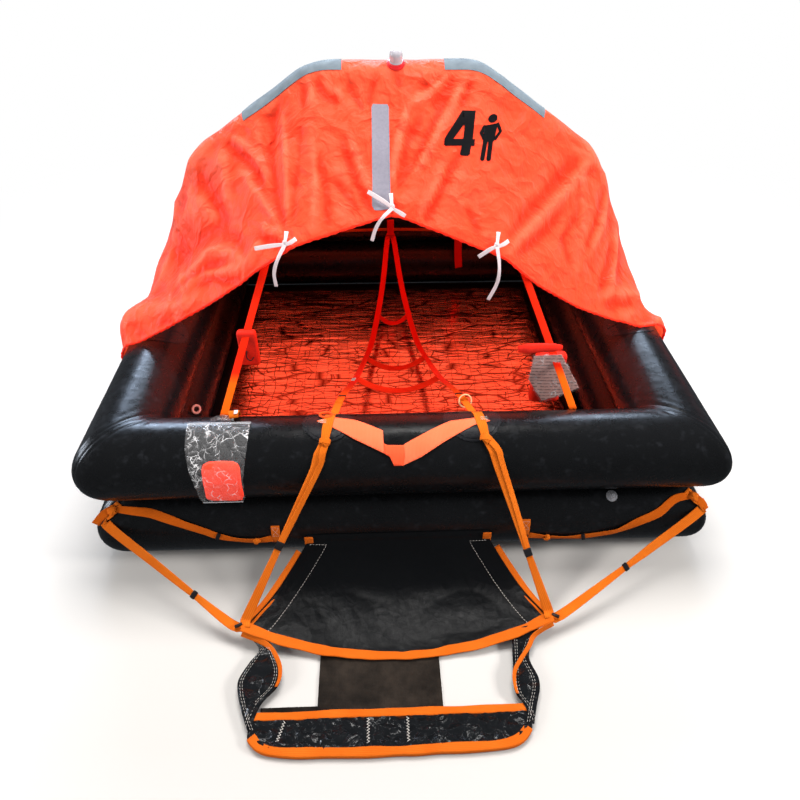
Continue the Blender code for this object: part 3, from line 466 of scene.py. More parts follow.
REFLECTIVE = plain_look("glass_bead_tape", "#7E7C88", "#686874", 0.6, 2.5, 0.25, Specular_IOR_Level=0.1)
RIDGE_TAPE = plain_look("weathered_glass_bead_tape", "#6C7880", "#48515A", 0.7, 12.0, 0.5,
                        Specular_IOR_Level=0.03)
THREAD = plain_look("white_polyester_thread", "#BDBAB6", "#98948F", 0.7, 1.0, 0.2)
INK = plain_look("black_printing_ink", "#08080A", "#121215", 0.6, 3.0, 0.1, Specular_IOR_Level=0.2)
RED_CLOTH = plain_look("red_woven_nylon", "#E0200A", "#B81404", 0.7, 1.4, 0.3)
BLACK_PLASTIC = plain_look("moulded_black_acetal", "#101012", "#1D1D20", 0.32, 1.2, 0.1)
LENS = plain_look("frosted_polycarbonate", "#A9A9B2", "#96969E", 0.22, 4.0, 0.1, Coat_Weight=0.3)
RING_ORANGE = plain_look("orange_moulded_plastic", "#E8501C", "#D04010", 0.4, 2.0, 0.1)
RING_CREAM = plain_look("cream_moulded_plastic", "#E8B890", "#D8A070", 0.4, 2.0, 0.1)
RED_PLASTIC = plain_look("moulded_red_plastic", "#D92A2E", "#B81D24", 0.35, 2.0, 0.1)
VALVE_METAL = plain_look("satin_nickel_plate", "#A8AAB0", "#888A90", 0.28, 2.0, 0.05, Metallic=0.4)
BRASS = plain_look("machined_brass", "#C29A55", "#9F7B3C", 0.3, 1.5, 0.05, Metallic=1.0)
PINK_RUBBER = plain_look("pink_silicone_rubber", "#E89A90", "#CC7C72", 0.5, 3.0, 0.1)
CYLINDER_PAINT = plain_look("grey_epoxy_paint", "#8E9296", "#7C8085", 0.38, 3.0, 0.15)
SALMON_FOAM = plain_look("salmon_foam_rubber", "#FF4A30", "#F03018", 0.6, 2.2, 0.4)


def clear_film_look():
    """Thin film is nearly invisible; white painted highlights lie along some of its sharp creases."""
    look, tree, where = new_look("clear_polythene_film", "#F2F4F8", 0.12, Specular_IOR_Level=0.9)
    folds = cracks(tree, wandering(tree, where, 22.0, 3.0, (0.06, 0.06, 0.06)), 42.0)
    # Painted highlight: some of the creases are drawn opaque and white, whatever the lamps do.
    some = spread(tree, cloud(tree, where, 30.0), 0.45, 0.62)
    lines = combine(tree, "MULTIPLY", spread(tree, folds, 0.0, 0.045, 0.62, 0.0), some)
    shader = tree.nodes["Principled BSDF"]
    tree.links.new(combine(tree, "ADD", lines, 0.03), shader.inputs["Alpha"])
    tree.links.new(bump(tree, 0.8, 0.01, folds), shader.inputs["Normal"])
    return look


def printed_card_look():
    """Rows of dark marks stand for small print, and are no letters."""
    look, tree, where = new_look("laminated_printed_card", "#A98580", 0.3)
    ink = combine(tree, "MULTIPLY", bands(tree, where, 0.011, "Z"), cloud(tree, where, 120.0))
    return wired(look, mix(tree, spread(tree, ink, 0.36, 0.48), "#A98580", "#6A5450"))


CLEAR_FILM = clear_film_look()
SEAL_FILM = plain_look("pressed_polythene_seal", "#C8CCD2", "#B4B8BE", 0.2, 3.0, 0.1, Alpha=0.4)
PRINTED_CARD = printed_card_look()
print("materials so far:", len(bpy.data.materials))

# %% [markdown]
# ## Sheets and rings of points
#
# A soft skin is easiest to shape as rows of points. One helper turns such rows into a piece with a UV map in
# metres, so that a weave can follow it. Each piece rides on the raft's one body, and the solids that it
# stands for are hidden.

# %% Sheets and rings of points
SIDES = (("left", -1), ("right", 1))
UP = (0, 0, 1)


def wobble(x, y, z):
    return noise.noise(Vector((x, y, z)))


def box_of(node):
    return [Vector(corner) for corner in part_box(node)]


def lengths(points):
    """How far along a line each of its points lies."""
    return np.concatenate([[0], np.cumsum(np.linalg.norm(np.diff(points, axis=0), axis=1))])


def on_raft(piece, *nodes, thick=0.0, offset=-1.0, slot=None):
    if thick:
        step = piece.modifiers.new("cloth_thickness", "SOLIDIFY")
        step.thickness, step.offset = thick, offset
    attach(piece, "root")
    if nodes:
        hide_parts(*nodes)
    return piece


def new_piece(name, mesh, look):
    mesh.materials.append(look)
    piece = bpy.data.objects.new(name, mesh)
    bpy.context.scene.collection.objects.link(piece)
    return piece


def turn_faces(work, facing):
    """An open sheet looks along a direction; a body gets its ends closed and looks outwards."""
    rims = [e for e in work.edges if e.is_boundary]
    if rims and facing is None:
        bmesh.ops.holes_fill(work, edges=rims, sides=0)
    bmesh.ops.recalc_face_normals(work, faces=work.faces)
    if facing is None:
        right_way = work.calc_volume(signed=True)
    else:
        right_way = sum(f.normal.dot(Vector(facing)) * f.calc_area() for f in work.faces)
    if right_way < 0:
        bmesh.ops.reverse_faces(work, faces=work.faces)


def skin(name, rows, look, *nodes, ring=False, loop=False, facing=None, **finish):
    """A piece from rows of points; each row may close into a ring, and the rows into a loop."""
    points = np.array([[tuple(p) for p in row] for row in rows], float)
    count_rows, count = points.shape[:2]
    middle, line = points[count_rows // 2], points[:, count // 2]
    across = lengths(np.vstack([middle, middle[:1]]))
    along = lengths(np.vstack([line, line[:1]]))
    faces, charts = [], []
    for r in range(count_rows if loop else count_rows - 1):
        low, high = r * count, ((r + 1) % count_rows) * count
        for c in range(count if ring else count - 1):
            n = (c + 1) % count
            faces.append((low + c, low + n, high + n, high + c))
            charts += [(across[c], along[r]), (across[c + 1], along[r]),
                       (across[c + 1], along[r + 1]), (across[c], along[r + 1])]
    mesh = bpy.data.meshes.new(name)
    mesh.from_pydata(points.reshape(-1, 3).tolist(), [], faces)
    mesh.uv_layers.new(name="metres").data.foreach_set("uv", np.array(charts, np.float32).ravel())
    mesh.shade_smooth()
    work = bmesh.new()
    work.from_mesh(mesh)
    turn_faces(work, facing)
    work.to_mesh(mesh)
    work.free()
    return on_raft(new_piece(name, mesh, look), *nodes, **finish)


def tree_of(piece):
    """A piece's faces in a form that answers where a ray meets them, or which is nearest."""
    return BVHTree.FromPolygons([v.co for v in piece.data.vertices],
                                [tuple(p.vertices) for p in piece.data.polygons])


print("helpers ready")

# %% [markdown]
# ## The two tubes
#
# Each corner is mitred from flat cloth, so seen from above it is round outside and nearly sharp
# inside. Neither a torus nor a spin gives that, so each ring of points has its own corner radius.
# The cloth has too much length on the inside of the corner, and it gathers in shallow creases
# beside the mitre seam.

# %% The two tubes
CORNER_STEPS = 36
STRAIGHTS = (0.006, 0.012, 0.018, 0.024, 0.030, 0.037, 0.045, 0.055, 0.07, 0.09, 0.12, 0.16, 0.21, 0.27,
             0.33, 0.39, 0.45, 0.5)
CREASES = (0.017, 0.044)
TUBE_POINTS = 72


def corner_round(offset, sign_x=1, sign_y=1):
    outer = 0.070 if sign_y > 0 else 0.052 if sign_x < 0 else 0.018
    return 0.012 + outer * max(0.0, offset + TUBE) / (2 * TUBE)


def corner_spot(offset, sign_x, sign_y, azimuth):
    """A place over a corner and the way outwards there; 0 degrees is the side, 90 the front or back."""
    turn = math.radians(azimuth)
    out = Vector((sign_x * math.cos(turn), sign_y * math.sin(turn)))
    radius = corner_round(offset, sign_x, sign_y)
    reach = HALF + offset - radius
    return Vector((sign_x * reach, MIDDLE + sign_y * reach)) + out * radius, out


def plan_ring(offset):
    """Places all round the raft at one offset from the tube's middle, each with its way outwards."""
    places = []
    corners = ((1, -1, 90, 0), (1, 1, 0, 90), (-1, 1, 90, 0), (-1, -1, 0, 90))
    shares = STRAIGHTS + tuple(1 - s for s in reversed(STRAIGHTS[:-1]))
    for index, (sx, sy, start, end) in enumerate(corners):
        for step in range(CORNER_STEPS + 1):
            places.append(corner_spot(offset, sx, sy, start + (end - start) * step / CORNER_STEPS))
        last, out = places[-1]
        first, _ = corner_spot(offset, *corners[(index + 1) % 4][:3])
        places += [(last.lerp(first, s), out) for s in shares]
    return places


def gather(place, angle):
    """How far the cloth is drawn in beside the mitre seam of a corner."""
    ahead = abs(place.x) - HALF
    beside = abs(place.y - MIDDLE) - HALF
    if min(ahead, beside) < -0.24:
        return 0.0
    away = (ahead - beside) / math.sqrt(2)
    depth = 0.0010 * math.exp(-(away / 0.0035) ** 2)
    inner = min(1.0, max(0.0, (angle - 20) / 70)) * min(1.0, max(0.0, (250 - angle) / 50))
    for number, at in enumerate(CREASES):
        for sign in (-1, 1):
            bent = away - sign * at * (1.15 - 0.35 * inner) - 0.004 * math.sin(7 * number + angle / 23)
            depth += (0.0013 - 0.0004 * number) * inner * math.exp(-(bent / 0.0042) ** 2)
    return depth


def make_tube(name, height):
    rows = []
    for k in range(TUBE_POINTS):
        angle = 360 * k / TUBE_POINTS
        turn = math.radians(angle)
        row = []
        for place, out in plan_ring(TUBE * math.cos(turn)):
            ripple = 0.0007 * wobble(place.x * 6, place.y * 6, height * 9 + turn)
            drawn = gather(place, angle) + 0.0007 - ripple
            spot = place - out * math.cos(turn) * drawn
            row.append((spot.x, spot.y, height + (TUBE - drawn) * math.sin(turn)))
        rows.append(row)
    tube = skin(name + "_skin", rows, TUBE_FABRIC, name, ring=True, loop=True)
    print(tube.name, len(tube.data.vertices), "points")
    return tube


make_tube("lower_tube", LOWER_Z)
UPPER_TREE = tree_of(make_tube("upper_tube", UPPER_Z))

# %% [markdown]
# ## The arch
#
# The arch is one more tube, 124 mm thick. It rises along the canopy's sides, bends at two
# shoulders and two ridge corners, and ends on the upper tube. At each bend the cloth on the inside
# folds into short creases.

# %% The arch
CANOPY_FOOT = (HALF + 0.0788, UPPER_Z + 0.0788)
SHOULDER = (0.612, 0.8835)
RIDGE = (0.2385, 1.127)
ARCH_POINTS = 40
ARCH_CREASES = (-0.028, -0.010, 0.009, 0.027)


def inner_line(points, distance):
    """A line of (x, z) points moved inwards by a distance, mitred at its bends."""
    runs = [Vector(b) - Vector(a) for a, b in zip(points, points[1:])]
    normals = [Vector((-run.y, run.x)).normalized() for run in runs]
    moved = []
    for point, one, two in zip(points, normals[:1] + normals, normals + normals[-1:]):
        mean = (one + two).normalized()
        moved.append(Vector(point) + mean * distance / mean.dot(one))
    return moved


def rounded_line(points, trim, steps):
    """Puts a curve in place of each bend."""
    points = [Vector(p) for p in points]
    made = [points[0]]
    for before, bend, after in zip(points, points[1:], points[2:]):
        start = bend + (before - bend).normalized() * trim
        end = bend + (after - bend).normalized() * trim
        for t in np.linspace(0, 1, steps + 1):
            made.append(start * (1 - t) ** 2 + bend * 2 * t * (1 - t) + end * t ** 2)
    return made + [points[-1]]


def evenly(points, step):
    """The same line with points at even distances."""
    points = np.array([tuple(p) for p in points], float)
    at = lengths(points)
    wanted = np.linspace(0, at[-1], max(2, int(round(at[-1] / step)) + 1))
    return [Vector([float(np.interp(w, at, column)) for column in points.T]) for w in wanted]


HALF_PROFILE = [CANOPY_FOOT, SHOULDER, RIDGE]
ARCH_LINE = inner_line(HALF_PROFILE + [(-x, z) for x, z in reversed(HALF_PROFILE)], ARCH + 0.001)


def make_arch():
    path = evenly(rounded_line(ARCH_LINE, 0.03, 10), 0.006)
    rows = []
    for i, point in enumerate(path):
        along = (path[min(i + 1, len(path) - 1)] - path[max(i - 1, 0)]).normalized()
        creases = 0.0
        for bend in ARCH_LINE[1:-1]:
            away = (point - bend).dot(along)
            creases += sum(0.0035 * math.exp(-((away - at) / 0.005) ** 2) for at in ARCH_CREASES)
        row = []
        for turn in np.linspace(0, 2 * math.pi, ARCH_POINTS, endpoint=False):
            radius = ARCH - 0.0005 - creases * max(0.0, -math.cos(turn))
            spot = point + Vector((along.y, -along.x)) * radius * math.cos(turn)
            row.append((spot.x, MIDDLE + radius * math.sin(turn), spot.y))
        rows.append(row)
    arch = skin("arch_skin", rows, TUBE_FABRIC, "arch_tube", ring=True)
    print(arch.name, len(arch.data.vertices), "points")


make_arch()

# %% [markdown]
# ## The canopy's net
#
# The canopy is one sheet. Its middle row lies over the arch. From there it falls to the front
# edge, with the doorway under it, and to the back, where it wraps over the upper tube and is fixed
# along its outer side. First comes a coarse net of a few true places, the same ones as the solids
# have; the front edge is drawn finer, because its scallops show most. It is given in mm.

# %% The canopy's net
WRAP = TUBE + 0.0022
LEVELS = (12.0, 27.0, 45.0, 63.0)
EDGE_PLACES = np.array((
    (-870, -95, 372), (-846, -115, 406), (-751, -135, 463), (-663, -145, 514), (-593, -155, 561),
    (-525, -165, 609), (-459, -175, 659), (-397, -180, 705), (-305, -178, 776), (-240, -168, 784),
    (-175, -162, 793), (-90, -140, 815), (-21, -112, 840), (90, -140, 815), (187, -169, 786),
    (261, -183, 762), (333, -180, 694), (399, -170, 640), (469, -155, 586), (557, -135, 538),
    (649, -115, 495), (745, -95, 447), (806, -75, 421), (868, -40, 376))) / 1000
EDGE_X = {3: 0.745, 4: 0.54, 5: 0.39, 6: 0.285, 7: -0.015}
COLUMNS = 15
LAST_HEM = 2
OVER = (ARCH + 0.001) * 1.035


def edge_spot(x):
    return Vector([x] + [float(np.interp(x, EDGE_PLACES[:, 0], EDGE_PLACES[:, k])) for k in (1, 2)])


def hem_spot(level, sign_x, y):
    turn = math.radians(LEVELS[level])
    return Vector((sign_x * (HALF + WRAP * math.cos(turn)), y, UPPER_Z + WRAP * math.sin(turn)))


def back_spot(level, sign_x, turns):
    turn = math.radians(LEVELS[level])
    azimuth = max(0.0, min(90.0, 45 + 22.5 * turns))
    place, _ = corner_spot(WRAP * math.cos(turn), sign_x, 1, azimuth)
    return Vector((place.x - sign_x * 0.05 * max(0, turns - 2), place.y - 0.05 * max(0, -turns - 2),
                   UPPER_Z + WRAP * math.sin(turn)))


def columns():
    """For each column of the net: its number, its rank from the side hem and its side of the raft."""
    return [(i, min(i, COLUMNS - 1 - i), 1 if i <= COLUMNS // 2 else -1) for i in range(COLUMNS)]


def back_row(level):
    turn = math.radians(LEVELS[level])
    row = []
    for _, side, sign in columns():
        if side >= 6:
            row.append(Vector((sign * (0.34 if side == 6 else 0.0), REAR + WRAP * math.cos(turn),
                               UPPER_Z + WRAP * math.sin(turn))))
        else:
            row.append(back_spot(min(side, level), sign, side - level))
    return row


def ridge_places():
    """The canopy's places over the arch, from right to left, each with its way outwards."""
    foot, shoulder, top = Vector(CANOPY_FOOT), Vector(SHOULDER), Vector(RIDGE)
    leg_out = Vector((shoulder.y - foot.y, foot.x - shoulder.x)).normalized()
    slope_out = Vector((top.y - shoulder.y, shoulder.x - top.x)).normalized()
    up = Vector((0, 1))
    half = [(Vector((hem_spot(k, 1, 0).x, hem_spot(k, 1, 0).z)), up) for k in range(3)]
    half += [(foot.lerp(shoulder, 0.5), leg_out),
             (shoulder, (leg_out + slope_out) / (1 + leg_out.dot(slope_out))),
             (shoulder.lerp(top, 0.5), slope_out), (top, (slope_out + up) / (1 + slope_out.dot(up)))]
    left = [(Vector((-p.x, p.y)), Vector((-n.x, n.y))) for p, n in reversed(half)]
    return half + [(Vector((0, top.y)), up)] + left


def over_arch(place, out, degrees, sign):
    spot = place - out * (ARCH + 0.001 - OVER * math.cos(math.radians(degrees)))
    return Vector((spot.x, MIDDLE + sign * OVER * math.sin(math.radians(degrees)), spot.y))


def canopy_net():
    places = ridge_places()
    edge = []
    for _, side, sign in columns():
        if side <= LAST_HEM:
            edge.append(hem_spot(side, sign, FRONT + (0.475 if sign > 0 else 0.42) - 0.012 * side))
        else:
            edge.append(edge_spot(sign * EDGE_X[side] if side < 7 else EDGE_X[7]))
    rows = [edge]
    for number, (kind, value) in enumerate((("between", 0.7), ("between", 0.35), ("turn", 45),
                                            ("turn", 15)), start=1):
        row = []
        for i, side, sign in columns():
            if side <= LAST_HEM:
                row.append(hem_spot(side, sign, MIDDLE + (edge[i].y - MIDDLE) * (1 - number / 5)))
            elif kind == "turn":
                row.append(over_arch(*places[i], value, -1))
            else:
                row.append(over_arch(*places[i], 45, -1).lerp(edge[i], value))
        rows.append(row)
    rows.append([Vector((place.x, MIDDLE, place.y)) for place, _ in places])
    back = [back_row(level) for level in (3, 2, 1, 0)]
    for number, (kind, value) in enumerate((("turn", 15), ("turn", 45), ("between", 0.3), ("between", 0.6),
                                            ("between", 0.8), ("between", 0.9))):
        row = []
        for i, side, sign in columns():
            if side <= LAST_HEM:
                end = back_spot(side, sign, side - 4)
                row.append(hem_spot(side, sign, MIDDLE + (end.y - MIDDLE) * (number + 1) / 6))
            elif kind == "turn":
                row.append(over_arch(*places[i], value, 1))
            elif side == 3 and number >= 4:
                row.append(back_spot(3, sign, number - 6))
            else:
                lift = 0.10 * value * (1 - value) if side == 3 else 0.0
                row.append(over_arch(*places[i], 45, 1).lerp(back[0][i], value) + Vector((0, 0, lift)))
        rows.append(row)
    return np.array([[tuple(p) for p in row] for row in rows + back])


NET = canopy_net()
print("net of", NET.shape[0], "rows and", NET.shape[1], "columns")

# %% [markdown]
# ## From net to cloth
#
# The net is filled with points 8 mm apart, or 12 mm behind the arch, and relaxed: each point moves
# towards the middle of its neighbours, as a stretched film does, while the hems stay where they
# are fixed. After each round, points that sank into the arch or a tube are pushed out again, so
# the cloth lies on them.

# %% From net to cloth
STEP = 0.008
BACK_STEP = 0.012
FRONT_ROWS = 5
TINY = 1e-6


def fill(net):
    for axis in (0, 1):
        gaps = np.linalg.norm(np.diff(net, axis=axis), axis=2).mean(axis=1 - axis)
        step = np.full(len(gaps), STEP)
        if axis == 0:
            step[FRONT_ROWS:] = BACK_STEP
        parts = np.maximum(1, np.round(gaps / step).astype(int))
        at = np.concatenate([np.linspace(k, k + 1, n, endpoint=False) for k, n in enumerate(parts)])
        at = np.append(at, len(parts))
        low = np.minimum(at.astype(int), len(parts) - 1)
        share = np.expand_dims(at - low, (1, 2) if axis == 0 else (0, 2))
        net = net.take(low, axis) * (1 - share) + net.take(low + 1, axis) * share
    return net


def nearest_on_line(spots, line):
    """For each place, the nearest place of a line, how far it is, and how far along the line it lies."""
    at = lengths(line)
    best = np.full(spots.shape[:-1], 1e9)
    closest, along = np.zeros(spots.shape), np.zeros(best.shape)
    for k, (a, b) in enumerate(zip(line, line[1:])):
        run = b - a
        t = np.clip(((spots - a) @ run) / (run @ run), 0, 1)
        foot = a + t[..., None] * run
        gap = np.linalg.norm(spots - foot, axis=-1)
        closer = gap < best
        best[closer], closest[closer] = gap[closer], foot[closer]
        along[closer] = (at[k] + t * (at[k + 1] - at[k]))[closer] / at[-1]
    return closest, best, along


def push_out_of_arch(cloth, clearance):
    line = np.array([tuple(p) for p in rounded_line(ARCH_LINE, 0.03, 6)])
    near = np.abs(cloth[..., 1] - MIDDLE) < ARCH + clearance
    spots = cloth[near]
    closest, _, _ = nearest_on_line(spots[:, [0, 2]], line)
    centre = np.column_stack([closest[:, 0], np.full(len(spots), MIDDLE), closest[:, 1]])
    arm = spots - centre
    length = np.linalg.norm(arm, axis=1)
    short = length < ARCH + clearance
    arm[short] *= ((ARCH + clearance) / np.maximum(length[short], TINY))[:, None]
    cloth[near] = centre + arm


def push_out_of_tube(cloth, clearance):
    """Keeps points clear of the upper tube, whose middle line is a square with rounded corners."""
    plan = cloth[..., :2] - np.array([0, MIDDLE])
    radius = corner_round(0)
    q = np.abs(plan) - (HALF - radius)
    outside = np.linalg.norm(np.maximum(q, 0), axis=-1)
    offset = outside + np.minimum(q.max(axis=-1), 0) - radius
    both = (q > 0).all(axis=-1)[..., None]
    one = np.stack([q[..., 0] > q[..., 1], q[..., 0] <= q[..., 1]], axis=-1)
    out = np.where(both, q / np.maximum(outside, TINY)[..., None], one) * np.sign(plan)
    up = cloth[..., 2] - UPPER_Z
    length = np.hypot(offset, up)
    inside = (length < TUBE + clearance) & (up > 0)
    factor = np.where(inside, (TUBE + clearance) / np.maximum(length, TINY) - 1, 0)
    cloth[..., :2] += out * (offset * factor)[..., None]
    cloth[..., 2] += up * factor


def relax(cloth, rounds):
    for _ in range(rounds):
        middle = (cloth[:-2, 1:-1] + cloth[2:, 1:-1] + cloth[1:-1, :-2] + cloth[1:-1, 2:]) / 4
        cloth[1:-1, 1:-1] += 0.6 * (middle - cloth[1:-1, 1:-1])
        push_out_of_arch(cloth, 0.008)
        push_out_of_tube(cloth, 0.0022)
    return cloth


def smooth_rims(cloth, rounds):
    for rim in (cloth[0], cloth[-1], cloth[:, 0], cloth[:, -1]):
        for _ in range(rounds):
            rim[1:-1] += 0.5 * ((rim[:-2] + rim[2:]) / 2 - rim[1:-1])
    return cloth


CLOTH = relax(smooth_rims(fill(NET), 12), 70)
print("cloth of", CLOTH.shape[0], "rows and", CLOTH.shape[1], "columns")

# %% [markdown]
# ## Folds
#
# Real cloth folds run from where it is held: the arch, the three ties at the doorway and the
# corners of the hem. Each fold is drawn here, in mm, by its height, its width and a line over the
# front of the canopy, seen from in front as (x, z). Positive heights are ridges, negative ones
# valleys. The sides and the back get soft folds from a noise that is stretched along the fall of
# the cloth.

# %% Folds
FOLDS = (
    (-16, 22, (-325, 1085), (-352, 1021), (-360, 929), (-336, 842), (-311, 800)),
    (11, 10, (-322, 1020), (-311, 948), (-307, 864), (-305, 798)),
    (-9, 18, (-265, 1040), (-274, 945), (-289, 871), (-300, 804)),
    (6, 20, (-400, 1020), (-395, 960), (-370, 860)),
    (-13, 13, (-505, 930), (-446, 913), (-407, 900), (-388, 880), (-420, 866)),
    (10, 12, (-500, 950), (-430, 932), (-380, 905), (-366, 870)),
    (-34, 34, (-610, 850), (-563, 812), (-520, 781), (-548, 746), (-618, 695), (-688, 621), (-700, 560)),
    (16, 16, (-618, 835), (-632, 755), (-688, 673), (-750, 582), (-800, 483)),
    (11, 16, (-515, 925), (-500, 839), (-508, 775)), (-10, 12, (-530, 742), (-476, 753), (-440, 745)),
    (18, 13, (-690, 562), (-612, 640), (-542, 697), (-500, 722)),
    (11, 9, (-600, 676), (-510, 710), (-457, 719), (-411, 712)),
    (11, 10, (-420, 706), (-397, 741), (-371, 780)),
    (-16, 13, (-700, 550), (-621, 620), (-551, 669), (-480, 697)),
    (14, 11, (-660, 575), (-568, 650), (-482, 678), (-400, 715)),
    (-11, 10, (-600, 610), (-540, 650), (-470, 664), (-400, 690)),
    (10, 9, (-381, 790), (-349, 790), (-316, 790)), (-9, 8, (-400, 764), (-346, 774), (-316, 780)),
    (7, 8, (-450, 885), (-378, 841), (-313, 795)),
    (10, 14, (-800, 470), (-721, 520), (-644, 556), (-560, 620)),
    (-10, 12, (-790, 440), (-730, 486), (-660, 530)), (-9, 11, (-160, 985), (-116, 900), (-66, 830)),
    (7, 9, (-140, 1000), (-98, 915), (-50, 845)), (-8, 10, (-185, 910), (-144, 876), (-100, 836)),
    (-10, 16, (-222, 960), (-196, 880), (-191, 805)), (6, 12, (-235, 990), (-225, 900), (-235, 800)),
    (-8, 10, (-274, 1110), (-259, 1073), (-265, 1029)), (7, 8, (-250, 1115), (-235, 1080), (-242, 1040)),
    (-9, 9, (-232, 1105), (-199, 1069), (-154, 1051)), (6, 7, (-210, 1100), (-180, 1076), (-145, 1066)),
    (-8, 8, (-140, 1095), (-112, 1060), (-88, 1035)), (-7, 9, (-50, 1115), (-73, 1074), (-80, 1040)),
    (-8, 8, (-3, 1125), (9, 1080)), (12, 11, (0, 880), (60, 935), (139, 1031), (207, 1105)),
    (-12, 14, (-8, 875), (45, 929), (116, 1028), (162, 1090)),
    (10, 10, (-14, 880), (-10, 935), (10, 996), (36, 1060)), (-9, 12, (-9, 880), (26, 976), (81, 1035)),
    (-13, 8, (60, 812), (99, 857), (139, 913), (180, 955)), (8, 8, (46, 822), (84, 866), (128, 920)),
    (-10, 10, (60, 1072), (105, 1093), (143, 1112)), (-9, 9, (92, 1040), (136, 1080), (167, 1112)),
    (-8, 9, (172, 1035), (195, 1072), (218, 1110)), (9, 8, (33, 1045), (87, 1076), (154, 1116)),
    (13, 12, (300, 748), (367, 765), (442, 790), (512, 822), (604, 862)),
    (-12, 20, (290, 772), (380, 800), (480, 845), (560, 880)), (-9, 16, (310, 730), (400, 740), (500, 780)),
    (-6, 8, (500, 945), (607, 882)), (6, 8, (520, 915), (612, 872)), (-7, 8, (560, 840), (632, 852)),
    (10, 16, (675, 790), (632, 710), (585, 650)), (-8, 14, (640, 780), (600, 710), (560, 660)),
    (11, 12, (700, 660), (692, 595), (642, 535)), (-8, 12, (670, 650), (655, 600), (615, 560)),
    (12, 10, (670, 534), (740, 504), (800, 462)), (-11, 11, (612, 540), (718, 496), (810, 430)),
    (-8, 12, (545, 755), (487, 716), (518, 640)), (-7, 10, (180, 850), (222, 785)))


def outwards(cloth):
    normal = np.cross(np.gradient(cloth, axis=0), np.gradient(cloth, axis=1))
    normal /= np.maximum(np.linalg.norm(normal, axis=2), 1e-9)[..., None]
    away = cloth - np.array([0, MIDDLE, 0.35])
    return normal * np.sign((normal * away).sum(axis=2).mean())


def front_folds(cloth):
    height = np.zeros(cloth.shape[:2])
    for depth, width, *line in FOLDS:
        _, gap, along = nearest_on_line(cloth[..., [0, 2]], np.array(line) / 1000)
        fade = np.clip(np.minimum(along, 1 - along) / 0.22, 0, 1) * 0.85 + 0.15
        height += depth / 1000 * fade * np.exp(0.35 - np.sqrt((gap / width * 1000) ** 2 + 0.1225))
    return height * np.clip((MIDDLE - 0.035 - cloth[..., 1]) / 0.04, 0, 1)


def wild_folds(cloth):
    """Folds of the sides and the back, from ridged noise over the lengths along rows and columns."""
    rows, columns = cloth.shape[:2]
    down = lengths(cloth[:, columns // 2])
    height = np.zeros((rows, columns))
    for r, c in np.ndindex(rows, columns):
        x, y, z = cloth[r, c]
        behind = min(1.0, max(0.0, (y - MIDDLE - 0.05) / 0.15))
        beside = min(1.0, max(0.0, (abs(x) - 0.60) / 0.08)) * (0.7 if y < MIDDLE else 1.0)
        strength = max(behind, beside)
        fine = Vector((x * 13, y * 13, z * 13))
        height[r, c] = 0.0028 * noise.noise(fine) + 0.0030 * (0.35 - abs(noise.noise(fine * 0.7)))
        if strength > 0:
            fall = Vector((c * STEP * 6.5 + 1.6 * math.sin(down[r] * 3), down[r] * 1.7, 4.0))
            ridged = 1 - abs(noise.noise(fall)) * 3.2
            height[r, c] += strength * (0.010 * ridged + 0.005 * noise.noise(fall * 2.3))
    return height


def calm_at_hems(height, cloth):
    """Folds fade where the sheet is fixed: along its side hems, its back hem and a little at the door."""
    across = lengths(cloth[cloth.shape[0] // 3])
    along = lengths(cloth[:, cloth.shape[1] // 2])
    return (height * np.clip(np.minimum(across, across[-1] - across) / 0.12, 0.15, 1)[None, :]
            * np.clip((along[-1] - along) / 0.18, 0.12, 1)[:, None]
            * np.clip(along / 0.02, 0.5, 1)[:, None])


def flare(cloth):
    """The loose front corners of the side hems stand off the tube, the left one most."""
    x, y, z = (cloth[..., k].copy() for k in range(3))
    left = np.exp(-((y + 0.040) / 0.060) ** 2 - ((z - 0.455) / 0.062) ** 2) * (x < -0.68)
    right = np.exp(-((y + 0.035) / 0.055) ** 2 - ((z - 0.435) / 0.055) ** 2) * (x > 0.68)
    leg = np.exp(-((z - 0.75) / 0.10) ** 2 - ((y - 0.16) / 0.12) ** 2) * (x > 0.55)
    cloth[..., 0] += 0.026 * right - 0.054 * left + 0.013 * leg
    cloth[..., 2] += 0.016 * right + 0.026 * left


def fold_depth(cloth):
    """How far each point lies in a valley, 0, or on a crest, 1, from the places around it."""
    wide = cloth.copy()
    for _ in range(10):
        wide[1:-1, 1:-1] = (wide[:-2, 1:-1] + wide[2:, 1:-1] + wide[1:-1, :-2] + wide[1:-1, 2:]) / 4
    proud = ((cloth - wide) * outwards(wide)).sum(axis=2)
    return np.clip(0.5 + proud / 0.006, 0, 1)


def rest_on_tube(cloth, clearance):
    """At the rear corners the tube is fuller than a plain ring, so its own skin has the last word."""
    low = cloth[..., 2] < UPPER_Z + TUBE + 0.02
    outer = np.maximum(np.abs(cloth[..., 0]), cloth[..., 1] - MIDDLE) > HALF - TUBE
    for r, c in np.argwhere(low & outer):
        spot = Vector(cloth[r, c])
        place, normal, _, _ = UPPER_TREE.find_nearest(spot)
        if (spot - place).dot(normal) < clearance:
            cloth[r, c] = place + normal * clearance


HEIGHT = calm_at_hems(front_folds(CLOTH) + wild_folds(CLOTH), CLOTH)
CLOTH += outwards(CLOTH) * HEIGHT[..., None]
flare(CLOTH)
push_out_of_arch(CLOTH, 0.006)
push_out_of_tube(CLOTH, 0.0022)
rest_on_tube(CLOTH, 0.0022)
print("folds between", round(HEIGHT.min() * 1000), "and", round(HEIGHT.max() * 1000), "mm")
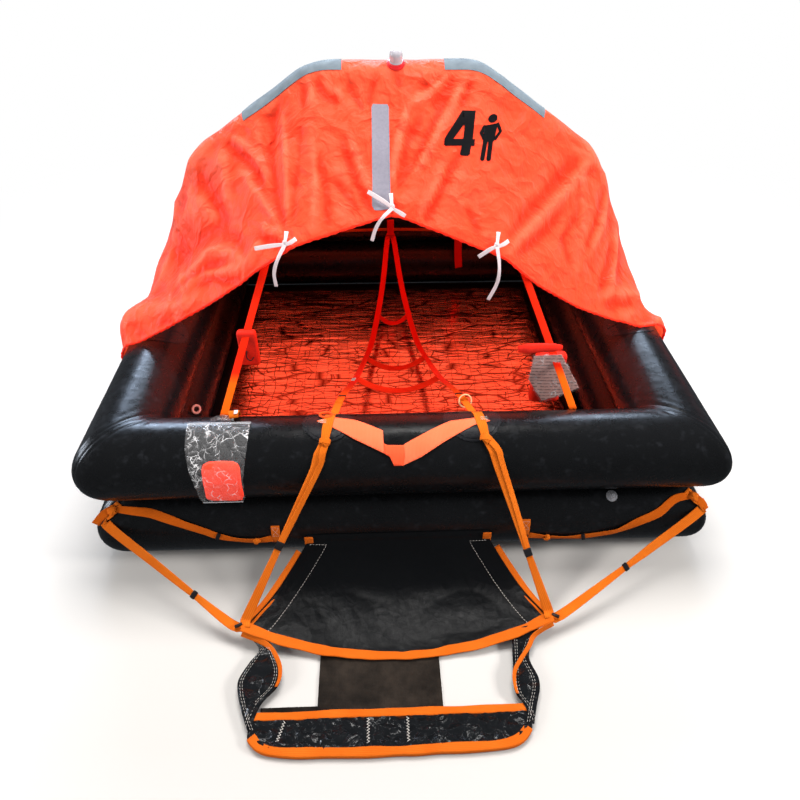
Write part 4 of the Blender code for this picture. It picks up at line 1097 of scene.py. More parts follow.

# %% [markdown]
# ## The canopy
#
# The nylon is a fifth of a millimetre thick, so it stays a single skin, which also lets light through as the
# real one does. Its front edge is a casing: the cloth is folded back and sewn, and a line inside draws it
# into small puckers. Each point also keeps how deep in a fold it lies, for the painted shade in the valleys
# and the painted highlight on the crests. It is cut from nylon 2.95 m wide, with a tenth more for what is cut
# away at the doorway and the corners.


def tube_along(name, points, radii, look, sides):
    """A round or flattened tube along points; radii are across and upright, one pair a point."""
    points = [Vector(p) for p in points]
    rows = []
    for i, point in enumerate(points):
        along = (points[min(i + 1, len(points) - 1)] - points[max(i - 1, 0)]).normalized()
        side = Vector(UP).cross(along).normalized()
        wide, tall = side * radii[i][0], along.cross(side) * radii[i][1]
        rows.append([point + wide * math.cos(turn) + tall * math.sin(turn)
                     for turn in np.linspace(0, 2 * math.pi, sides, endpoint=False)])
    return skin(name, rows, look, ring=True)


def make_canopy():
    cloth = skin("canopy_cloth", CLOTH, CANOPY_NYLON, "canopy_front", "canopy_rear", facing=UP)
    # The fold depth carries the canopy's painted shade and painted highlight.
    depth = cloth.data.attributes.new("fold_depth", "FLOAT", "POINT")
    depth.data.foreach_set("value", fold_depth(CLOTH).ravel().astype(np.float32))
    edge = evenly(CLOTH[0], 0.005)
    radii = [0.0042 + 0.0008 * math.sin(i * 1.3) + 0.0010 * wobble(i * 0.21, 3, 5)
             for i in range(len(edge))]
    casing = tube_along("canopy_edge_casing", edge, [(r, r) for r in radii], CANOPY_NYLON, 10)
    return cloth


CANOPY_TREE = tree_of(make_canopy())

# %% [markdown]
# ## The floor mat
#
# The mat lies on the raft's bottom sheet, 30 mm short of the tubes. It has long low waves where the
# foam was folded, and its quilting gives a row of small ridges. The waves are in the mesh; the
# finer creases are in the film's material.

# %% The floor mat
MAT_HALF = 0.62
MAT_LOW = 0.0245
MAT_TOP = 0.040
MAT_RIM = 0.012
MAT_POINTS = 190


def mat_height(x, y):
    row = math.sin(2 * math.pi * (y + 0.004 * wobble(x * 9, y * 4, 1)) / 0.031)
    wave = wobble(x * 3.1, y * 6.3, 2.5)
    crumple = wobble(x * 17, y * 31, 7.5)
    top = MAT_TOP - 0.0025 + 0.00015 * row + 0.0022 * wave + 0.0005 * crumple
    rim = min(MAT_HALF - abs(x), MAT_HALF - abs(y))
    return top + (MAT_LOW - top) * max(0.0, 1 - rim / MAT_RIM) ** 2


def make_mat():
    places = np.linspace(-MAT_HALF, MAT_HALF, MAT_POINTS)
    rows = [[(x, MIDDLE + y, mat_height(x, y)) for x in places] for y in places]
    mat = skin("floor_mat_film", rows, MIRROR_FILM, "floor_mat")
    print(mat.name, len(mat.data.polygons), "faces")


def sheet_over(name, xs, ys, height, look, *nodes, **finish):
    """A nearly flat sheet over a grid of places; a function gives its height."""
    return skin(name, [[(x, y, height(x, y)) for x in xs] for y in ys], look, *nodes, **finish)


def make_bottom_sheet():
    low, high = box_of("raft_floor")
    reach = 0.2 * (high.z - low.z)
    sheet = sheet_over("raft_bottom_sheet", np.linspace(low.x, high.x, 90), np.linspace(low.y, high.y, 90),
                       lambda x, y: (low.z + high.z) / 2 + reach * wobble(x * 4, y * 4, 1),
                       TARPAULIN, "raft_floor", facing=UP, thick=0.0012, offset=0.0)


make_mat()
make_bottom_sheet()

# %% [markdown]
# ## Straps
#
# Every strap is webbing about 2 mm thick with soft edges. A strap is drawn by a few places and, at
# each place, the way its width lies; between them it follows a smooth curve and turns evenly. Its
# section is a flat oval.

# %% Straps
GRID = 0.006
SECTION = ((-0.5, 0.0), (-0.46, 0.36), (-0.40, 0.5), (-0.2, 0.46), (0, 0.5), (0.2, 0.46), (0.40, 0.5),
           (0.46, 0.36), (0.5, 0.0), (0.46, -0.36), (0.40, -0.5), (0, -0.5), (-0.40, -0.5),
           (-0.46, -0.36))


def curve_through(points, step, straight=False):
    """A smooth or straight line through the points, at even distances, with each point's place on it."""
    points = [Vector(p) for p in points]
    made = []
    places = []
    for i in range(len(points) - 1):
        here, there = points[i], points[i + 1]
        before = points[i - 1] if i else here * 2 - there
        after = points[i + 2] if i + 2 < len(points) else there * 2 - here
        pieces = max(1, int(round((there - here).length / step)))
        for k in range(pieces):
            t = k / pieces
            made.append(here.lerp(there, t) if straight else
                        0.5 * (2 * here + (there - before) * t
                               + (2 * before - 5 * here + 4 * there - after) * t * t
                               + (3 * here - before - 3 * there + after) * t ** 3))
            places.append(i + t)
    return made + [points[-1]], places + [len(points) - 1.0]


def strap(name, points, across, look, *nodes, width=0.028, thickness=0.002, step=0.008, straight=False,
          slot=None):
    """Webbing through the points, its width along one vector, or one vector a point."""
    across = across if isinstance(across, list) else [across] * len(points)
    sides = [Vector(a).normalized() for a in across]
    widths = width if isinstance(width, list) else [width] * len(points)
    line, places = curve_through(points, step, straight)
    rows = []
    for i, point in enumerate(line):
        along = (line[min(i + 1, len(line) - 1)] - line[max(i - 1, 0)]).normalized()
        k = min(int(places[i]), len(points) - 2)
        share = places[i] - k
        side = sides[k].slerp(sides[k + 1], share) if sides[k] != sides[k + 1] else sides[k]
        side = (side - along * side.dot(along)).normalized()
        wide = side * (widths[k] * (1 - share) + widths[k + 1] * share)
        up = along.cross(side) * thickness
        rows.append([point + wide * s + up * n for s, n in SECTION])
    return skin(name, rows, look, *nodes, ring=True, slot=slot)


def on_front(x, angle, lift, height=UPPER_Z):
    """A point over the front tube, at an angle above its outer side."""
    turn = math.radians(angle)
    return Vector((x, FRONT - (TUBE + lift) * math.cos(turn), height + (TUBE + lift) * math.sin(turn)))


def lay_flat(name, rings, place, look, *nodes, facing, **finish):
    """Fills closed rings of flat places, cuts them by a grid and puts every point in its place."""
    work = bmesh.new()
    for ring in rings:
        face = work.faces.new([work.verts.new((a, 0, b)) for a, b in ring])
        if face.normal.y > 0:
            face.normal_flip()
    bmesh.ops.triangulate(work, faces=[f for f in work.faces if len(f.verts) > 4])
    places = np.array([p for ring in rings for p in ring])
    for axis, normal in enumerate((Vector((1, 0, 0)), Vector(UP))):
        for cut in np.arange(places[:, axis].min() + GRID, places[:, axis].max(), GRID):
            bmesh.ops.bisect_plane(work, geom=work.verts[:] + work.edges[:] + work.faces[:],
                                   plane_co=normal * cut, plane_no=normal)
    charts = work.loops.layers.uv.new("metres")
    for face in work.faces:
        for loop in face.loops:
            loop[charts].uv = (loop.vert.co.x, loop.vert.co.z)
    for vertex in work.verts:
        vertex.co = place(vertex.co.x, vertex.co.z)
    turn_faces(work, facing)
    mesh = bpy.data.meshes.new(name)
    work.to_mesh(mesh)
    work.free()
    mesh.shade_smooth()
    return on_raft(new_piece(name, mesh, look), *nodes, **finish)


print("strap helper ready")

# %% [markdown]
# ## Ladder and stays
#
# Inside hangs a slack ladder of webbing, from a tab on the back tube to the two knots on the front tube; it
# is painted red where the canopy's red light falls on it and orange where it comes out over the front tube.
# Its legs sag under their own weight, and its three rungs hang lower still. Two straight stays lead from the
# front tube's inner side up to the arch and keep it upright, painted red and orange in the same way.

# %% Ladder and stays
LADDER = [[value / 1000 for value in row] for row in (
    (1404, 298, 6), (1395, 262, 16), (1208, 165, 39), (1026, 115, 65), (847, 102, 91), (698, 138, 113),
    (479, 214, 144), (262, 322, 176))]
RUNGS = ((6, 0.045, "rung_1"), (5, 0.040, "rung_2"), (3, 0.030, "rung_3"))


def make_ladder():
    for side, sign in SIDES:
        points = [Vector((sign * half, FRONT + y, z)) for y, z, half in LADDER]
        points += [on_front(sign * 0.190, 138, 0.0025), on_front(sign * 0.194, 117, 0.0022),
                   on_front(sign * 0.196, 102, 0.0022)]
        across = [(1, 0, 0)] * len(points)
        across[2] = (1, 0, 0.25 * sign)
        across[5] = (1, 0.1, -0.3 * sign)
        leg = strap(f"ladder_leg_web_{side}", points, across, LADDER_WEBBING, f"ladder_leg_{side}",
                    width=0.023)
        print(leg.name, "of", round(lengths(points)[-1], 2), "m")
    for place, droop, name in RUNGS:
        y, z, half = LADDER[place]
        points = [(u * (half - 0.006), FRONT + y - 0.012 * (1 - u * u), z - droop * (1 - u * u) - 0.002)
                  for u in np.linspace(-1, 1, 9)]
        across = [(0, 1, 0.5 + 0.3 * math.sin(k)) for k in range(9)]
        strap(f"ladder_{name}_web", points, across, LADDER_WEBBING, f"ladder_{name}",
              width=0.021)


STAY_FOOT = {"left": -0.488, "right": 0.47}
STAY_HEAD = {"left": -0.262, "right": 0.20}


def stay_line(side):
    foot_x, head_x = STAY_FOOT[side], STAY_HEAD[side]
    line = rounded_line(ARCH_LINE, 0.03, 10)
    half = line[:len(line) // 2]
    height = float(np.interp(-abs(head_x), [-p.x for p in half], [p.y for p in half]))
    under = (ARCH + 0.0015) * math.sqrt(0.5)
    head = Vector((head_x, MIDDLE - under, height - under))
    return [on_front(foot_x, 157, 0.0015), on_front(foot_x, 145, 0.0015), on_front(foot_x, 135, 0.0025),
            head, head + Vector((0, 0.013, -0.012))]


def make_stays():
    for side in STAY_FOOT:
        strap(f"stay_web_{side}", stay_line(side), (1, 0, 0), STAY_WEBBING, f"arch_stay_{side}", width=0.021,
              straight=True)


make_ladder()
make_stays()

# %% [markdown]
# ## Front straps and handle
#
# Two orange straps come over the front tube and run down to the ramp's corners. Between them the
# salmon handle lies on the tube: two arms of wide webbing that meet low in a sewn patch. On the
# tube, a strap is placed by its angle around it.

# %% Front straps and handle
RAMP_CORNER = {-1: Vector((-0.436, FRONT - 0.345, 0.05)), 1: Vector((0.382, FRONT - 0.345, 0.05))}
HANDLE = ((-0.2296, 97), (-0.2034, 89), (-0.1275, 64), (-0.0538, 44.7), (-0.0404, 40.4), (-0.0308, 29),
          (-0.0078, 28.7), (0.0391, 39.4), (0.1025, 59.6), (0.182, 83.2), (0.2249, 90), (0.2007, 97.5),
          (0.1858, 97.0), (0.1198, 91.2), (0.0345, 67.2), (-0.0005, 57.6), (-0.0055, 55.3), (-0.0472, 55.8),
          (-0.0563, 58.2), (-0.0573, 76.5), (-0.128, 97.1), (-0.180, 105), (-0.2022, 105))
HANDLE_PATCH = ((-0.0538, 44.7), (-0.0404, 40.4), (-0.0308, 29), (-0.0078, 28.7), (-0.0030, 40),
                (-0.0045, 55.3), (-0.0472, 55.8), (-0.0563, 58.2))
KNOT_ANGLE = 62
CLIP_SHARE = {"left": 0.50, "right": 0.59}


def strap_end(sign):
    corner = RAMP_CORNER[sign]
    return Vector((corner.x - sign * 0.012, corner.y + 0.020, corner.z + 0.005))


def make_front_straps():
    for side, sign in SIDES:
        corner = RAMP_CORNER[sign]
        end = strap_end(sign)
        leave = on_front(sign * 0.234, 27, 0.0050)
        clip = leave.lerp(end, CLIP_SHARE[side])
        over = [on_front(sign * 0.196, 112, 0.0050), on_front(sign * 0.198, 99, 0.0052),
                on_front(sign * 0.202, 81, 0.0054), on_front(sign * 0.207, KNOT_ANGLE, 0.0060)]
        hanging = [on_front(sign * 0.224, 45, 0.0050), leave, leave.lerp(clip, 0.5), clip,
                   clip.lerp(end, 0.5), end, Vector((end.x, corner.y + 0.002, corner.z + 0.0025))]
        strap(f"front_web_{side}", over + hanging,
              (1, 0, 0), ORANGE_WEBBING, f"front_strap_{side}",
              width=[0.027, 0.027, 0.026, 0.020, 0.022, 0.020, 0.018, 0.017, 0.022, 0.027, 0.027],
              straight=True)
        side_step = Vector((0.0125, 0.001, 0.0035))
        points = [over[3] + side_step * 0.4, on_front(sign * 0.224, 45, 0.0062) + side_step,
                  leave + side_step * 1.05, leave.lerp(clip, 0.5) + side_step * 0.7, clip + side_step * 0.15]
        across = [(1, 0, 0), (1, 0.25, 0), (1, 0.5, 0.1), (1, 0.4, 0), (1, 0.1, 0)]
        strap(f"front_web_return_{side}", points, across,
              ORANGE_WEBBING, width=[0.018, 0.017, 0.016, 0.015, 0.015])


def arc_length(angle):
    return math.radians(angle) * TUBE


def lay_on_front(name, rings, look, lift, *nodes, thick):
    """Lays closed rings of (x, angle) on the front tube."""
    flat = [[(x, arc_length(angle)) for x, angle in ring] for ring in rings]
    return lay_flat(name, flat, lambda x, run: on_front(x, math.degrees(run / TUBE), lift), look, *nodes,
                    facing=(0, -1, 1), thick=thick, offset=1.0)


def make_handle():
    handle = lay_on_front("boarding_handle_web", [HANDLE], HANDLE_WEBBING, 0.0014, "boarding_handle",
                          thick=0.0020)
    lay_on_front("boarding_handle_patch", [HANDLE_PATCH], HANDLE_FOLD, 0.0038, thick=0.0008)
    print(handle.name, len(handle.data.polygons), "faces")


make_front_straps()
make_handle()

# %% [markdown]
# ## Lifelines and corner straps
#
# Around the lower tube runs a lifeline of orange webbing, fixed by patches and slack between them.
# At each front corner another strap leads down to the ramp's corner and keeps the ramp spread.

# %% Lifelines and corner straps
KNOT_HEIGHT = 54
CORNER_CLIP = {-1: 0.70, 1: 0.55}


def on_corner(sign, angle, lift):
    """A point over a front corner of the lower tube, at an angle above its outer side."""
    turn = math.radians(angle)
    spot, out = corner_spot(TUBE * math.cos(turn), sign, -1, 62)
    return Vector((spot.x + out.x * lift, spot.y + out.y * lift, LOWER_Z + (TUBE + lift) * math.sin(turn)))


def corner_line(sign):
    corner = RAMP_CORNER[sign]
    leave = on_corner(sign, 34, 0.004)
    turn_in = Vector((corner.x + sign * 0.020, corner.y + 0.014, corner.z - 0.0052))
    return leave, turn_in


def make_corner_straps():
    for side, sign in SIDES:
        corner = RAMP_CORNER[sign]
        leave, turn_in = corner_line(sign)
        sag = Vector((0, 0, -0.006))
        points = [on_corner(sign, 62, 0.0022), on_corner(sign, 48, 0.0030), leave,
                  leave.lerp(turn_in, 0.36) + sag, leave.lerp(turn_in, CORNER_CLIP[sign]) + sag, turn_in,
                  Vector((corner.x - sign * 0.012, corner.y + 0.014, corner.z - 0.0046))]
        across = [(sign, 0.6, 0), (sign, 0.8, 0.2), (sign * 0.5, 0.7, 0.5), (0.2 * sign, 0.6, 0.8),
                  (0.0, 0.7, 0.7), (0, 1, 0.1), (0, 1, 0)]
        strap(f"corner_web_{side}", points, across, ORANGE_WEBBING, f"corner_strap_{side}",
              width=[0.024, 0.024, 0.028, 0.029, 0.017, 0.027, 0.024])


LINE_DROP = {-1: ((0.742, 52), (0.70, 49), (0.655, 41), (0.606, 31), (0.556, 21), (0.518, 12), (0.467, 4),
                  (0.415, 1), (0.372, 4)),
             1: ((0.762, 50), (0.715, 31), (0.66, 18), (0.605, 2), (0.556, -5), (0.51, -10), (0.462, -12),
                 (0.405, -9), (0.352, -4))}


def slack_line(start, end, way_out, height):
    """A line fixed at both ends and at two places between, and slack there."""
    points = []
    for share in np.linspace(0, 1, 25):
        dip = abs(math.sin(3 * math.pi * share))
        points.append(Vector(start).lerp(Vector(end), share) + Vector(way_out) * 0.007 * dip
                      + Vector((0, 0, height - 0.032 * dip)))
    return points


def make_lifelines():
    height = LOWER_Z - 0.001
    aside = HALF + TUBE + 0.0024
    for side, sign in SIDES:
        drop = LINE_DROP[sign]
        points = [on_corner(sign, KNOT_HEIGHT, 0.0035)]
        points += [on_front(sign * x, angle, 0.0036 if 1 < k < 8 else 0.0024, LOWER_Z)
                   for k, (x, angle) in enumerate(drop)]
        across = [(0, math.sin(math.radians(angle)) - 0.22 * math.sin(k * 1.9), math.cos(math.radians(angle)))
                  for k, (_, angle) in enumerate(((0, KNOT_HEIGHT),) + drop)]
        strap(f"front_lifeline_web_{side}", points, across, LIFELINE_WEBBING, f"front_lifeline_{side}",
              width=[0.018, 0.024, 0.026, 0.025, 0.024, 0.021, 0.019, 0.017, 0.020, 0.021])
        line = slack_line((sign * aside, FRONT + 0.06, 0), (sign * aside, FRONT + 2 * HALF - 0.06, 0),
                          (sign, 0, 0), height)
        strap(f"side_lifeline_web_{side}", line, UP, LIFELINE_WEBBING, f"side_lifeline_{side}", width=0.024)
    line = slack_line((-0.70, MIDDLE + aside, 0), (0.70, MIDDLE + aside, 0), (0, 1, 0), height)
    strap("rear_lifeline_web", line, UP, LIFELINE_WEBBING, "rear_lifeline", width=0.024)


def make_inner_lines():
    face = REAR - TUBE - 0.0018
    z = UPPER_Z - 0.012
    points = [(-0.55, face, z), (-0.3, face - 0.003, z - 0.006), (0.0, face - 0.001, z),
              (0.28, face - 0.003, z - 0.006), (0.55, face, z)]
    strap("inner_lifeline_web", points, UP, LIFELINE_WEBBING, "inner_lifeline_rear", width=0.013,
          slot="red_webbing")
    tab = [(0.0, face - 0.0012, z + 0.045), (0.0, face - 0.003, z + 0.01), (0.0, face - 0.004, z - 0.03)]
    strap("anchor_tab_web", tab, (1, 0, 0), RED_WEBBING, "ladder_anchor_tab", width=0.030)
    hanging = [(x, face - ahead, z + up) for x, ahead, up in (
        (0.300, 0.0025, 0.01), (0.303, 0.009, -0.06), (0.306, 0.006, -0.12), (0.314, 0.008, -0.19))]
    strap("hanging_web", hanging, [(1, 0, 0), (1, 0.1, 0), (1, -0.2, 0), (1, 0.2, 0)], RED_WEBBING,
          "hanging_strap", width=0.034)


make_corner_straps()
make_lifelines()
make_inner_lines()

# %% [markdown]
# ## Seams
#
# White polyester thread holds everything together, in stitches about 5 mm long. A seam is one mesh
# of small flat ridges, placed along a line on the cloth; a zigzag seam turns them to and fro.

# %% Seams
def seam(name, lines, zigzag=0.0, length=0.0050, gap=0.0034, width=0.0010, look=THREAD):
    """Stitches along lines; each line is a list of points and the way out of the cloth."""
    points, faces = [], []
    for line, out in lines:
        out = Vector(out).normalized()
        places = np.array([tuple(p) for p in curve_through(line, 0.002)[0]])
        travelled = lengths(places)
        at = 0.0
        turn = zigzag
        while at + length < travelled[-1]:
            ends = [Vector([np.interp(along, travelled, column) for column in places.T])
                    for along in (at, at + length)]
            if zigzag:
                beside = out.cross((ends[1] - ends[0]).normalized()).normalized() * turn
                ends = [ends[0] - beside, ends[1] + beside]
                turn = -turn
            beside = out.cross((ends[1] - ends[0]).normalized()).normalized() * width / 2
            base = len(points)
            for spot in ends + [(ends[0] + ends[1]) / 2 + out * 0.0010]:
                points += [tuple(spot - beside), tuple(spot + beside)]
            faces += [(base, base + 1, base + 5, base + 4), (base + 4, base + 5, base + 3, base + 2)]
            at += length + (-0.0006 if zigzag else gap)
    mesh = bpy.data.meshes.new(name)
    mesh.from_pydata(points, [], faces)
    return on_raft(new_piece(name, mesh, look), slot="lamp_lens_white")


def between(name, left, right, look, *nodes, crumple):
    """A ribbon between two edges that are drawn point for point."""
    edges = []
    for edge in (left, right):
        line = np.array([tuple(p) for p in curve_through(edge, 0.003)[0]])
        at = lengths(line)
        edges.append([Vector([np.interp(s, at, column) for column in line.T])
                      for s in np.linspace(0, at[-1], 40)])
    rows = []
    for a, b in zip(*edges):
        row = []
        for share in np.linspace(0, 1, 15):
            spot = a.lerp(b, share)
            swell = math.sin(math.pi * share)
            spot.z += crumple * swell * (0.6 + 1.6 * wobble(spot.x * 23, spot.y * 23, 5.5))
            row.append(spot)
        rows.append(row)
    return skin(name, rows, look, *nodes, facing=UP, thick=0.0016)


print("seam helpers ready")

# %% [markdown]
# ## Boarding ramp
#
# The ramp is a slack sheet of tarpaulin. Its top edge is glued to the lower tube, its two front
# corners are lifted by the straps and its middle lies on the floor. An orange binding shows beyond
# each side edge and covers the front edge. White seams run beside the bindings.


def ramp_spot(u, t):
    """A point of the ramp: u from its left edge to its right, t from the tube to the front edge."""
    face_y = FRONT - TUBE - 0.0042
    corner = RAMP_CORNER[1]
    edge_y = corner.y + (FRONT - 0.416 - corner.y) * max(0.0, 1 - u * u)
    lift = abs(u) ** 2.5
    route = ((0.0, face_y + 0.003, 0.128), (0.06, face_y - 0.012, 0.094),
             (0.5, FRONT - 0.23, 0.028 + 0.020 * u * u),
             (0.85, edge_y + 0.034, 0.0075 + 0.038 * lift), (1.0, edge_y, 0.0075 + 0.0425 * lift))
    line = np.array([tuple(p) for p in curve_through(route, 0.02)[0]])
    y, z = [float(np.interp(t, line[:, 0], line[:, k])) for k in (1, 2)]
    x = (-0.0190 + u * 0.255) * (1 - t) + (-0.027 + u * 0.402) * t
    return Vector((x, y, max(z, 0.0065)))


def dent(x, y):
    """How far the slack sheet stands up: long soft pleats, and sharp small ones between them."""
    slow = wobble(x * 4.5 + 0.3, y * 6.5, 3.3)
    pleat = 1 - 2.4 * abs(wobble(x * 5 + y * 4, y * 7 - x * 2, 9.1))
    small = 1 - 3.0 * abs(wobble(x * 15, y * 13 + x * 5, 4.4))
    return 0.0042 * slow + 0.0036 * max(0.0, pleat) + 0.0006 * small


def ramp_top(u, t, lift=0.0014):
    spot = ramp_spot(u, t)
    calm = max(0.0, min(1.0, (1 - abs(u)) / 0.1, t / 0.12, (1 - t) / 0.12))
    return spot + Vector((0, -0.3, 1)) * (max(0.0, dent(spot.x, spot.y)) * calm + lift)


def make_ramp():
    rows = [[ramp_top(u, t, 0.0) for u in np.linspace(-1, 1, 129)] for t in np.linspace(0, 1, 71)]
    ramp = skin("boarding_ramp_sheet", rows, TARPAULIN, "boarding_ramp", facing=(0, -0.3, 1), thick=0.0016)
    for side, sign in SIDES:
        away = Vector((sign, -0.35, -0.12)).normalized()
        points = [ramp_spot(sign, 0.10 + 0.90 * share) + Vector((0, 0, -0.0032))
                  + away * (0.003 + 0.0035 * math.sin(math.pi * share)) for share in np.linspace(0, 1, 25)]
        strap(f"ramp_binding_{side}", points, away, BINDING_TAPE, width=0.030, thickness=0.0032,
                          straight=True)
    points, inwards, widths = [], [], []
    for u in np.linspace(-1, 1, 61):
        widths.append(0.029 + 0.005 * wobble(u * 9, 7, 3))
        spot = ramp_spot(u * 1.03, 1)
        inwards.append((ramp_spot(u, 0.93) - spot).normalized())
        points.append(spot + inwards[-1] * (0.010 + 0.0022 * wobble(u * 7, 1, 2)) + Vector((0, 0, 0.0016)))
    strap("ramp_binding_front", points, inwards, BINDING_TAPE, width=widths, thickness=0.0060,
                      straight=True)
    for side, sign in SIDES:
        top = ramp_spot(sign * 0.97, 0.02)
        points = [top + Vector((0, y, z)) for y, z in ((-0.0010, -0.030), (-0.0022, -0.012), (-0.0014, 0.008),
                                                       (0.0005, 0.022))]
        strap(f"ramp_top_tab_{side}", points, (1, 0, 0), BINDING_TAPE, width=0.024)
    lines = []
    for _, sign in SIDES:
        across = [ramp_top(sign * u, 0.045 + 0.03 * (0.95 - u)) for u in np.linspace(0.95, 0.76, 6)]
        down = [ramp_top(sign * (0.76 + 0.12 * t), t) for t in np.linspace(0.06, 0.96, 24)]
        lines += [(across, (0, -0.35, 1)), (down, (0, -0.35, 1))]
    lines.append(([ramp_top(u, 0.945) for u in np.linspace(-0.93, 0.93, 46)], (0, -0.2, 1)))
    seam("ramp_seams", lines)
    print(ramp.name, len(ramp.data.polygons), "faces")


make_ramp()

# %% [markdown]
# ## Step
#
# The step is a padded board in crinkled tarpaulin, its front corners round, with orange bindings
# along both long edges. Two twisted side bands with an orange edge tie it to the ramp's corners,
# and a net cloth joins the two in the middle. The bands' edges are drawn in mm.

# %% Step
STEP_MIDDLE, STEP_HALF = -0.054, 0.333
STEP_BACK, STEP_FRONT = FRONT - 0.545, FRONT - 0.649


def step_front(x):
    share = min(1.0, abs(x - STEP_MIDDLE) / STEP_HALF)
    return STEP_FRONT + 0.010 * share ** 2 + 0.040 * share ** 14


def step_back(x):
    return STEP_BACK + 0.0022 * wobble(x * 9, 3, 1)


def step_top(x, y, lift=0.0):
    share = (y - step_front(x)) / (step_back(x) - step_front(x))
    edge = min(1.0, max(0.0, share) / 0.22, max(0.0, 1 - share) / 0.22)
    crinkle = 1 - 2.8 * abs(wobble(x * 34, y * 46, 2)) + 0.6 * wobble(x * 90, y * 90, 7)
    return Vector((x, y, 0.0135 + edge * (0.0010 + 0.0024 * max(0.0, crinkle)) + lift))


BAND_EDGES = {-1: (((-414, -872, 34), (-385, -903, 24), (-406, -937, 20), (-426, -980, 20), (-421, -1018, 20),
                    (-402, -1069, 18), (-387, -1100, 17)),
                   ((-372, -872, 32), (-348, -900, 26), (-326, -944, 22), (-321, -976, 20), (-330, -1004, 20),
                    (-362, -1040, 18), (-380, -1092, 17))),
              1: (((272, -872, 30), (266, -900, 24), (259, -956, 20), (251, -1011, 20), (254, -1040, 20),
                   (270, -1068, 18), (276, -1108, 17)),
                  ((345, -868, 34), (318, -909, 26), (302, -948, 22), (316, -998, 20), (313, -1029, 20),
                   (300, -1062, 18), (284, -1108, 17)))}
BAND_TRIM = {-1: ((-430, -868, 45), (-381, -886, 33), (-352, -906, 29), (-329, -944, 26), (-324, -976, 24),
                  (-331, -1001, 23)),
             1: ((378, -868, 45), (326, -893, 33), (305, -922, 29), (262, -977, 26), (254, -1010, 24),
                 (256, -1038, 23))}


def in_metres(places):
    return [Vector(place) / 1000 for place in places]


def wavy(x, row, width):
    return width + 0.005 * wobble(x * 14, row, 3)


def make_tread():
    ends = np.array((STEP_MIDDLE - STEP_HALF, STEP_MIDDLE + STEP_HALF))
    rows = []
    for x in np.linspace(*ends, 150):
        front, back = step_front(x), step_back(x)
        row = [(x, y, 0.0026) for y in np.linspace(front + 0.004, back - 0.003, 8)]
        row += [(x, back, 0.0060), (x, back, 0.0105)]
        row += [step_top(x, y) for y in np.linspace(back - 0.003, front + 0.004, 34)]
        row += [(x, front, 0.0105), (x, front, 0.0060)]
        rows.append(row)
    skin("step_tread_cover", rows, CRINKLED_VINYL, "step_tread", ring=True)
    xs = np.linspace(*(ends + (0.004, -0.004)), 90)
    back_line = [(x, step_back(x) - 0.0085 + 0.0030 * wobble(x * 8, 1, 5), 0.0093) for x in xs]
    strap("step_binding_back", back_line, (0, 1, 0), BINDING_TAPE, width=[wavy(x, 2, 0.021) for x in xs],
          thickness=0.0150)
    front_line, inwards = [], []
    near = 0.003
    for x in xs:
        slope = (step_front(min(x + near, xs[-1])) - step_front(max(x - near, xs[0]))) / (2 * near)
        inwards.append(Vector((-slope, 1, 0)).normalized())
        front_line.append(Vector((x, step_front(x), 0.0090))
                          + inwards[-1] * (0.0095 + 0.0024 * wobble(x * 8, 4, 5)))
    strap("step_binding_front", front_line, inwards, BINDING_TAPE, width=[wavy(x, 6, 0.023) for x in xs],
          thickness=0.0150)
    lines = [[(x, y) for y in np.linspace(STEP_BACK - 0.022, step_front(x) + 0.024, 6)]
             for x in (-0.106, -0.013)]
    lines.append([(-0.296 - (STEP_BACK - y) * 0.30, y)
                  for y in np.linspace(STEP_BACK - 0.022, STEP_FRONT + 0.035, 6)])
    seam("step_zigzag_seams", [([step_top(x, y, 0.0018) for x, y in line], UP) for line in lines],
         zigzag=0.0035, length=0.004)


def make_bands():
    shifts = (0.007, 0.0125, -0.012, -0.0175)
    lines = []
    for side, sign in SIDES:
        left, right = [in_metres(edge) for edge in BAND_EDGES[sign]]
        between(f"step_side_web_{side}", left, right, CRINKLED_VINYL, f"step_side_{side}", crumple=0.0045)
        strap(f"step_band_trim_{side}", in_metres(BAND_TRIM[sign]), (1, 0.2, -0.5 * sign), BINDING_TAPE,
              width=[0.020, 0.016, 0.013, 0.012, 0.011, 0.009])
        lines += [([p + Vector((shift, 0, 0.0030)) for p in edge[1:]], UP)
                  for edge, shift in zip((left, left, right, right), shifts)]
    seam("band_seams", lines, width=0.0007)


def make_net():
    net = sheet_over("step_net", np.linspace(-0.229, 0.075, 60),
                     np.linspace(STEP_BACK - 0.004, FRONT - 0.375, 48),
                     lambda x, y: (0.0032 + 0.0011 * wobble(x * 30, y * 30, 1)
                                   + 0.0016 * max(0.0, wobble(x * 9, y * 9, 6))),
                     NET_CLOTH, "step_web", facing=UP, thick=0.0012)
    # A strip of the same dark cloth lies along the tread's back edge, left of the net.
    edge = sheet_over("step_dark_strip", np.linspace(-0.365, -0.228, 24),
                      np.linspace(STEP_BACK + 0.001, STEP_BACK + 0.017, 5),
                      lambda x, y: 0.0030 + 0.0008 * wobble(x * 30, y * 30, 3),
                      NET_CLOTH, facing=UP, thick=0.0012)


make_tread()
make_bands()
make_net()
print("step made")

# %% [markdown]
# ## Tapes and prints on the canopy
#
# Strips of silver tape with glass beads lie on the canopy: two over its ridge and one above the
# doorway. Rescue rules ask for such tape, and for the number of people the raft holds, so a large
# 4 and a plain figure are printed beside it. Both must follow the folds. A flat shape is cut by a
# 6 mm grid, and every point of it is then laid on the cloth from in front.

# %% Laying flat shapes on the cloth
def on_cloth(x, z, lift):
    spot, normal, _, _ = CANOPY_TREE.ray_cast(Vector((x, -1.2, z)), Vector((0, 1, 0)))
    if normal.y > 0:
        normal = -normal
    return spot + normal * lift


def lay_on_cloth(name, rings, look, lift):
    lay_flat(name, rings, lambda x, z: on_cloth(x, z, lift), look, facing=(0, -1, 0))


